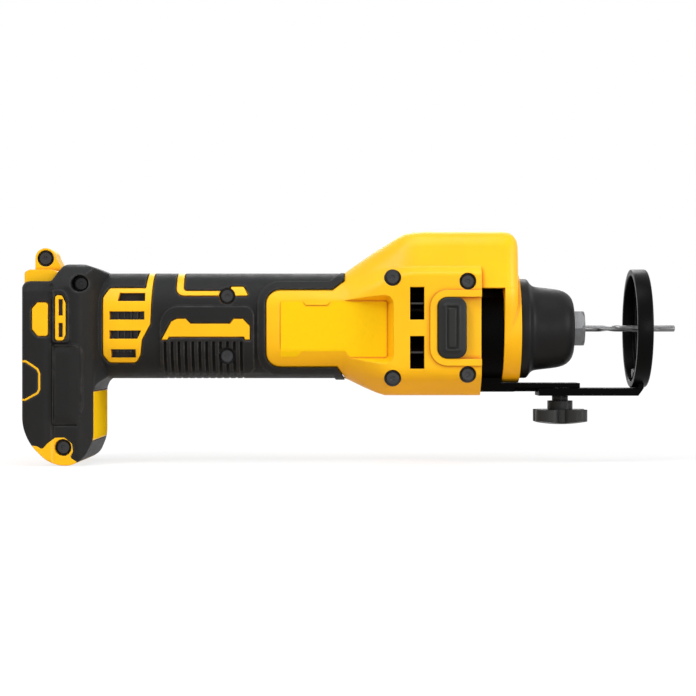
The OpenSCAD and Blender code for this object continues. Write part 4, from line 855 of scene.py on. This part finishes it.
deep_cut = add_step(
    screw_tree, "GeometryNodeExtrudeMesh",
    [(raised_floor.outputs["Geometry"], "Mesh"), (screw_in["Height"], "Offset Scale")],
)
cut_floor = add_step(screw_tree, "GeometryNodeFlipFaces", [(raised_floor.outputs["Geometry"], "Mesh")])
cutter = add_step(
    screw_tree, "GeometryNodeJoinGeometry",
    [(deep_cut.outputs["Mesh"], "Geometry"), (cut_floor.outputs["Mesh"], "Geometry")],
)
closed_cutter = add_step(
    screw_tree, "GeometryNodeMergeByDistance", [(cutter.outputs["Geometry"], "Geometry")], distance=cutter_gap
)
socketed = add_step(
    screw_tree, "GeometryNodeMeshBoolean",
    [(head.outputs["Mesh"], "Mesh 1"), (closed_cutter.outputs["Geometry"], "Mesh 2")], operation="DIFFERENCE",
)
rod = add_step(
    screw_tree, "GeometryNodeMeshCylinder", [(screw_in["Shank"], "Radius")], vertices=shank_sides, depth=1.0
)
hung = add_step(
    screw_tree, "GeometryNodeTransform", [(rod.outputs["Mesh"], "Geometry")], translation=(0, 0, -0.5)
)
heads = add_step(
    screw_tree, "GeometryNodeInstanceOnPoints",
    [(screw_in["Geometry"], "Points"), (socketed.outputs["Mesh"], "Instance")], rotation=facing_right,
)
shanks = add_step(
    screw_tree, "GeometryNodeInstanceOnPoints",
    [
        (screw_in["Geometry"], "Points"), (hung.outputs["Geometry"], "Instance"),
        (read_mark(screw_tree, "reach"), "Scale"),
    ],
    rotation=facing_right,
)
whole_screws = add_step(
    screw_tree, "GeometryNodeJoinGeometry",
    [(heads.outputs["Instances"], "Geometry"), (shanks.outputs["Instances"], "Geometry")],
)
black_steel = turned_finish("black_steel", (0.05, 0.05, 0.052), rough=0.42, ring_size=0.0005)
end_tree(screw_tree, whole_screws.outputs["Geometry"], black_steel, screw_out)
screw_boxes = islands("housing_screws")
screw_axes = [((low.x + high.x) / 2, (low.z + high.z) / 2) for low, high in screw_boxes]
screws = grown_mesh(
    "shell_screws",
    [(x, low.y + head_h / 2, z) for (x, z), (low, _) in zip(screw_axes, screw_boxes)],
    screw_tree, screw_sockets, {"Head": head_r, "Height": head_h, "Socket": socket_r, "Shank": shank_r},
    {"reach": [(1.0, 1.0, high.y - low.y - head_h / 2) for low, high in screw_boxes]},
)
screws.set_sharp_from_angle(angle=math.radians(metal_crease))
put_in_scene("shell_screws", screws, black_steel, "housing", ["housing_screws"])
# The washers' near-black stands for the shade in each pocket's gap round the head: painted shade.
washer_painted_shade = plain_finish("washer_painted_shade", (0.004, 0.004, 0.0042), 0.6)
washer_tree, washer_sockets, washer_in, washer_out = tree_with("pocket_washer", ("Radius", "Depth"))
disc = add_step(
    washer_tree, "GeometryNodeMeshCylinder", [(washer_in["Radius"], "Radius"), (washer_in["Depth"], "Depth")],
    vertices=round_sides,
)
seated = add_step(
    washer_tree, "GeometryNodeInstanceOnPoints",
    [(washer_in["Geometry"], "Points"), (disc.outputs["Mesh"], "Instance")], rotation=facing_right,
)
end_tree(washer_tree, seated.outputs["Instances"], washer_painted_shade, washer_out)
washers = grown_mesh(
    "screw_washers",
    [(x, low.y + head_h - washer_t / 2, z) for (x, z), (low, _) in zip(screw_axes, screw_boxes)],
    washer_tree, washer_sockets, {"Radius": washer_r, "Depth": washer_t},
)
washers.set_sharp_from_angle(angle=math.radians(metal_crease))
put_in_scene("screw_washers", washers, washer_painted_shade, "housing")


# Pocket sleeves: where a screw passes through the grip, the rubber runs down the wall of its pocket.
# Each is a thin tube from the screw's washer to just under the grip's face.
sleeve_r, sleeve_t, sleeve_sides = 0.00407, 0.00012, 48
face_gap, least_height, rim_r = 0.0012, 0.0002, 1.1 * sleeve_r
grip_surface = surface_of("right_grip")
sleeves = []
for (x, z), (low, _) in zip(screw_axes, screw_boxes):
    around = angles_round(sleeve_sides)
    rims = [right_face_at(grip_surface, x + rim_r * math.cos(a), z + rim_r * math.sin(a)) for a in around]
    if all(rims):
        seat = low.y + head_h - washer_t
        tops = [min(rim.y + face_gap, seat - least_height) for rim in rims]
        seats = [seat] * sleeve_sides
        inner_r = sleeve_r - sleeve_t
        loops = [
            [(x + radius * math.cos(a), y, z + radius * math.sin(a)) for a, y in zip(around, heights)]
            for radius, heights in ((sleeve_r, seats), (sleeve_r, tops), (inner_r, tops), (inner_r, seats))
        ]
        sleeves.append(lofted("pocket_sleeve", loops + loops[:1], closed=False))
put_in_scene("pocket_sleeves", joined(sleeves), black_rubber, "housing")


# Depth guide: a steel bracket clamped round the neck and a sliding arm, both pressed and blackened.
# A round nylon shoe is riveted to the arm's end, and a captive nut sits in the bracket.
# Both have edges painted a little paler, partly as wear and partly as a painted highlight, and creases painted
# darker as shade.
guide_black = moulded_finish(
    "guide_black", (0.0012, 0.0012, 0.0013), edge_tint=(0.012, 0.012, 0.0125), rough=0.42, grain_size=0.0006,
    grain_depth=0.00003, edge=0.0004, edge_tint_share=0.45, shine=0.022,
)
shoe_nylon = moulded_finish(
    "shoe_nylon", (0.002, 0.002, 0.0021), edge_tint=(0.02, 0.02, 0.0205), rough=0.32, grain_size=0.0006,
    grain_depth=0.00003, edge=0.0006, edge_tint_share=0.5, shine=0.05,
)
round_crease = 35.0
dress("guide_bracket", "depth_bracket", guide_black, "housing")
dress("captive_nut", "bracket_nut", bright_steel, "housing")
dress("sliding_arm", "guide_arm", guide_black, "depth_shoe")
dress("round_shoe", "shoe_ring", shoe_nylon, "depth_shoe", round_crease)
dress("arm_rivets", "shoe_rivets", bright_steel, "depth_shoe")


# Thumb knob: a black moulded wing with four lobes on a steel screw.
# The screw turns in the bracket's captive nut and clamps the sliding arm.
dress("lobed_knob", "thumb_knob", button_nylon, "thumb_knob", round_crease)
dress("clamp_screw", "thumb_screw", bright_steel, "thumb_knob")


# Studio: a pale floor just under the tool, which looks white from far off and keeps the tool's shadow.
# Soft lamps stand above, in front, at the sides and behind, and the camera faces the tool's right side.
def sees_background(nodes, links):
    path = nodes.new("ShaderNodeLightPath").outputs
    either = add_node(nodes, "Math", operation="MAXIMUM")
    links.new(path["Is Camera Ray"], either.inputs[0])
    links.new(path["Is Glossy Ray"], either.inputs[1])
    any_of = add_node(nodes, "Math", operation="MAXIMUM")
    links.new(either.outputs["Value"], any_of.inputs[0])
    links.new(path["Is Transmission Ray"], any_of.inputs[1])
    return any_of.outputs["Value"]


floor_gap, floor_corners = 0.0003, ((-6, -3), (6, -3), (6, 9), (-6, 9))
floor_z = solid_box[0][2] - floor_gap
floor_mesh = bpy.data.meshes.new("floor")
floor_mesh.from_pydata([(x, y, floor_z) for x, y in floor_corners], [], [(0, 1, 2, 3)])
floor = bpy.data.objects.new("floor", floor_mesh)
bpy.context.scene.collection.objects.link(floor)
floor_white, nodes, links, skin = blank_finish("floor_white")
skin.inputs["Roughness"].default_value = 0.9
skin.inputs["Specular IOR Level"].default_value = 0.0
bounced = nodes.new("ShaderNodeLightPath").outputs["Is Diffuse Ray"]
floor_tint = blend_colours(nodes, links, bounced, (0.9, 0.9, 0.9), (0.62, 0.46, 0.28))
links.new(floor_tint, skin.inputs["Base Color"])
near, far, near_glow, glow_strength = 0.3, 0.9, 0.75, 1.04
glow = nodes.new("ShaderNodeEmission")
glow.inputs["Strength"].default_value = glow_strength
away = add_node(nodes, "VectorMath", operation="DISTANCE")
links.new(nodes.new("ShaderNodeTexCoord").outputs["Object"], away.inputs[0])
away.inputs[1].default_value = (-0.12, 0.0, floor_z)
lit = add_node(nodes, "Math", operation="MULTIPLY")
links.new(sees_background(nodes, links), lit.inputs[0])
links.new(rescale(nodes, links, away.outputs["Value"], near, far, near_glow, 1.0), lit.inputs[1])
blend = nodes.new("ShaderNodeMixShader")
links.new(lit.outputs["Value"], blend.inputs["Fac"])
links.new(skin.outputs["BSDF"], blend.inputs[1])
links.new(glow.outputs["Emission"], blend.inputs[2])
links.new(blend.outputs["Shader"], nodes["Material Output"].inputs["Surface"])
floor_mesh.materials.append(floor_white)

world = bpy.data.worlds.new("studio")
bpy.context.scene.world = world
world.use_nodes = True
nodes, links = world.node_tree.nodes, world.node_tree.links
sky, sky_fill = nodes["Background"], 0.2
sky.inputs["Color"].default_value = (1.0, 1.0, 1.0, 1.0)
links.new(rescale(nodes, links, sees_background(nodes, links), 0, 1, sky_fill, 1.0), sky.inputs["Strength"])


def soft_lamp(name, place, aim, size, power, height=None):
    lamp = bpy.data.lights.new(name, "AREA")
    lamp.shape = "RECTANGLE" if height else "DISK"
    lamp.size = size
    lamp.size_y = height or size
    lamp.energy = power
    holder = bpy.data.objects.new(name, lamp)
    holder.location = place
    holder.rotation_euler = (Vector(aim) - Vector(place)).to_track_quat("-Z", "Y").to_euler()
    bpy.context.scene.collection.objects.link(holder)


soft_lamp("top_lamp", (-0.15, -0.35, 1.0), aim=(-0.12, 0, 0), size=0.7, power=5.2)
soft_lamp("front_lamp", (-0.75, -0.75, 0.8), aim=(-0.14, 0, 0), size=0.5, power=7.0)
soft_lamp("side_lamp", (0.95, -0.4, 0.22), aim=(-0.1, 0, 0), size=0.5, power=7.0)
soft_lamp("strip_lamp", (0.32, -1.0, 0.08), aim=(-0.02, 0, 0), size=0.25, power=2.0, height=0.26)
soft_lamp("back_lamp", (-0.1, 1.1, 0.7), aim=(-0.12, 0, 0), size=0.7, power=6.0)
soft_lamp("dock_lamp", (-1.1, 0.35, 0.45), aim=(-0.2, 0, 0), size=0.5, power=2.0)

camera_data = bpy.data.cameras.new("camera")
camera_data.lens = 105.72
camera_data.sensor_width = 36.0
camera_data.clip_start = 0.01
camera = bpy.data.objects.new("camera", camera_data)
camera.location = (-0.11775, -1.022, -0.00975)
camera.rotation_euler = (math.radians(90), 0, 0)
bpy.context.scene.collection.objects.link(camera)
bpy.context.scene.camera = camera
bpy.context.scene.view_settings.view_transform = "Standard"
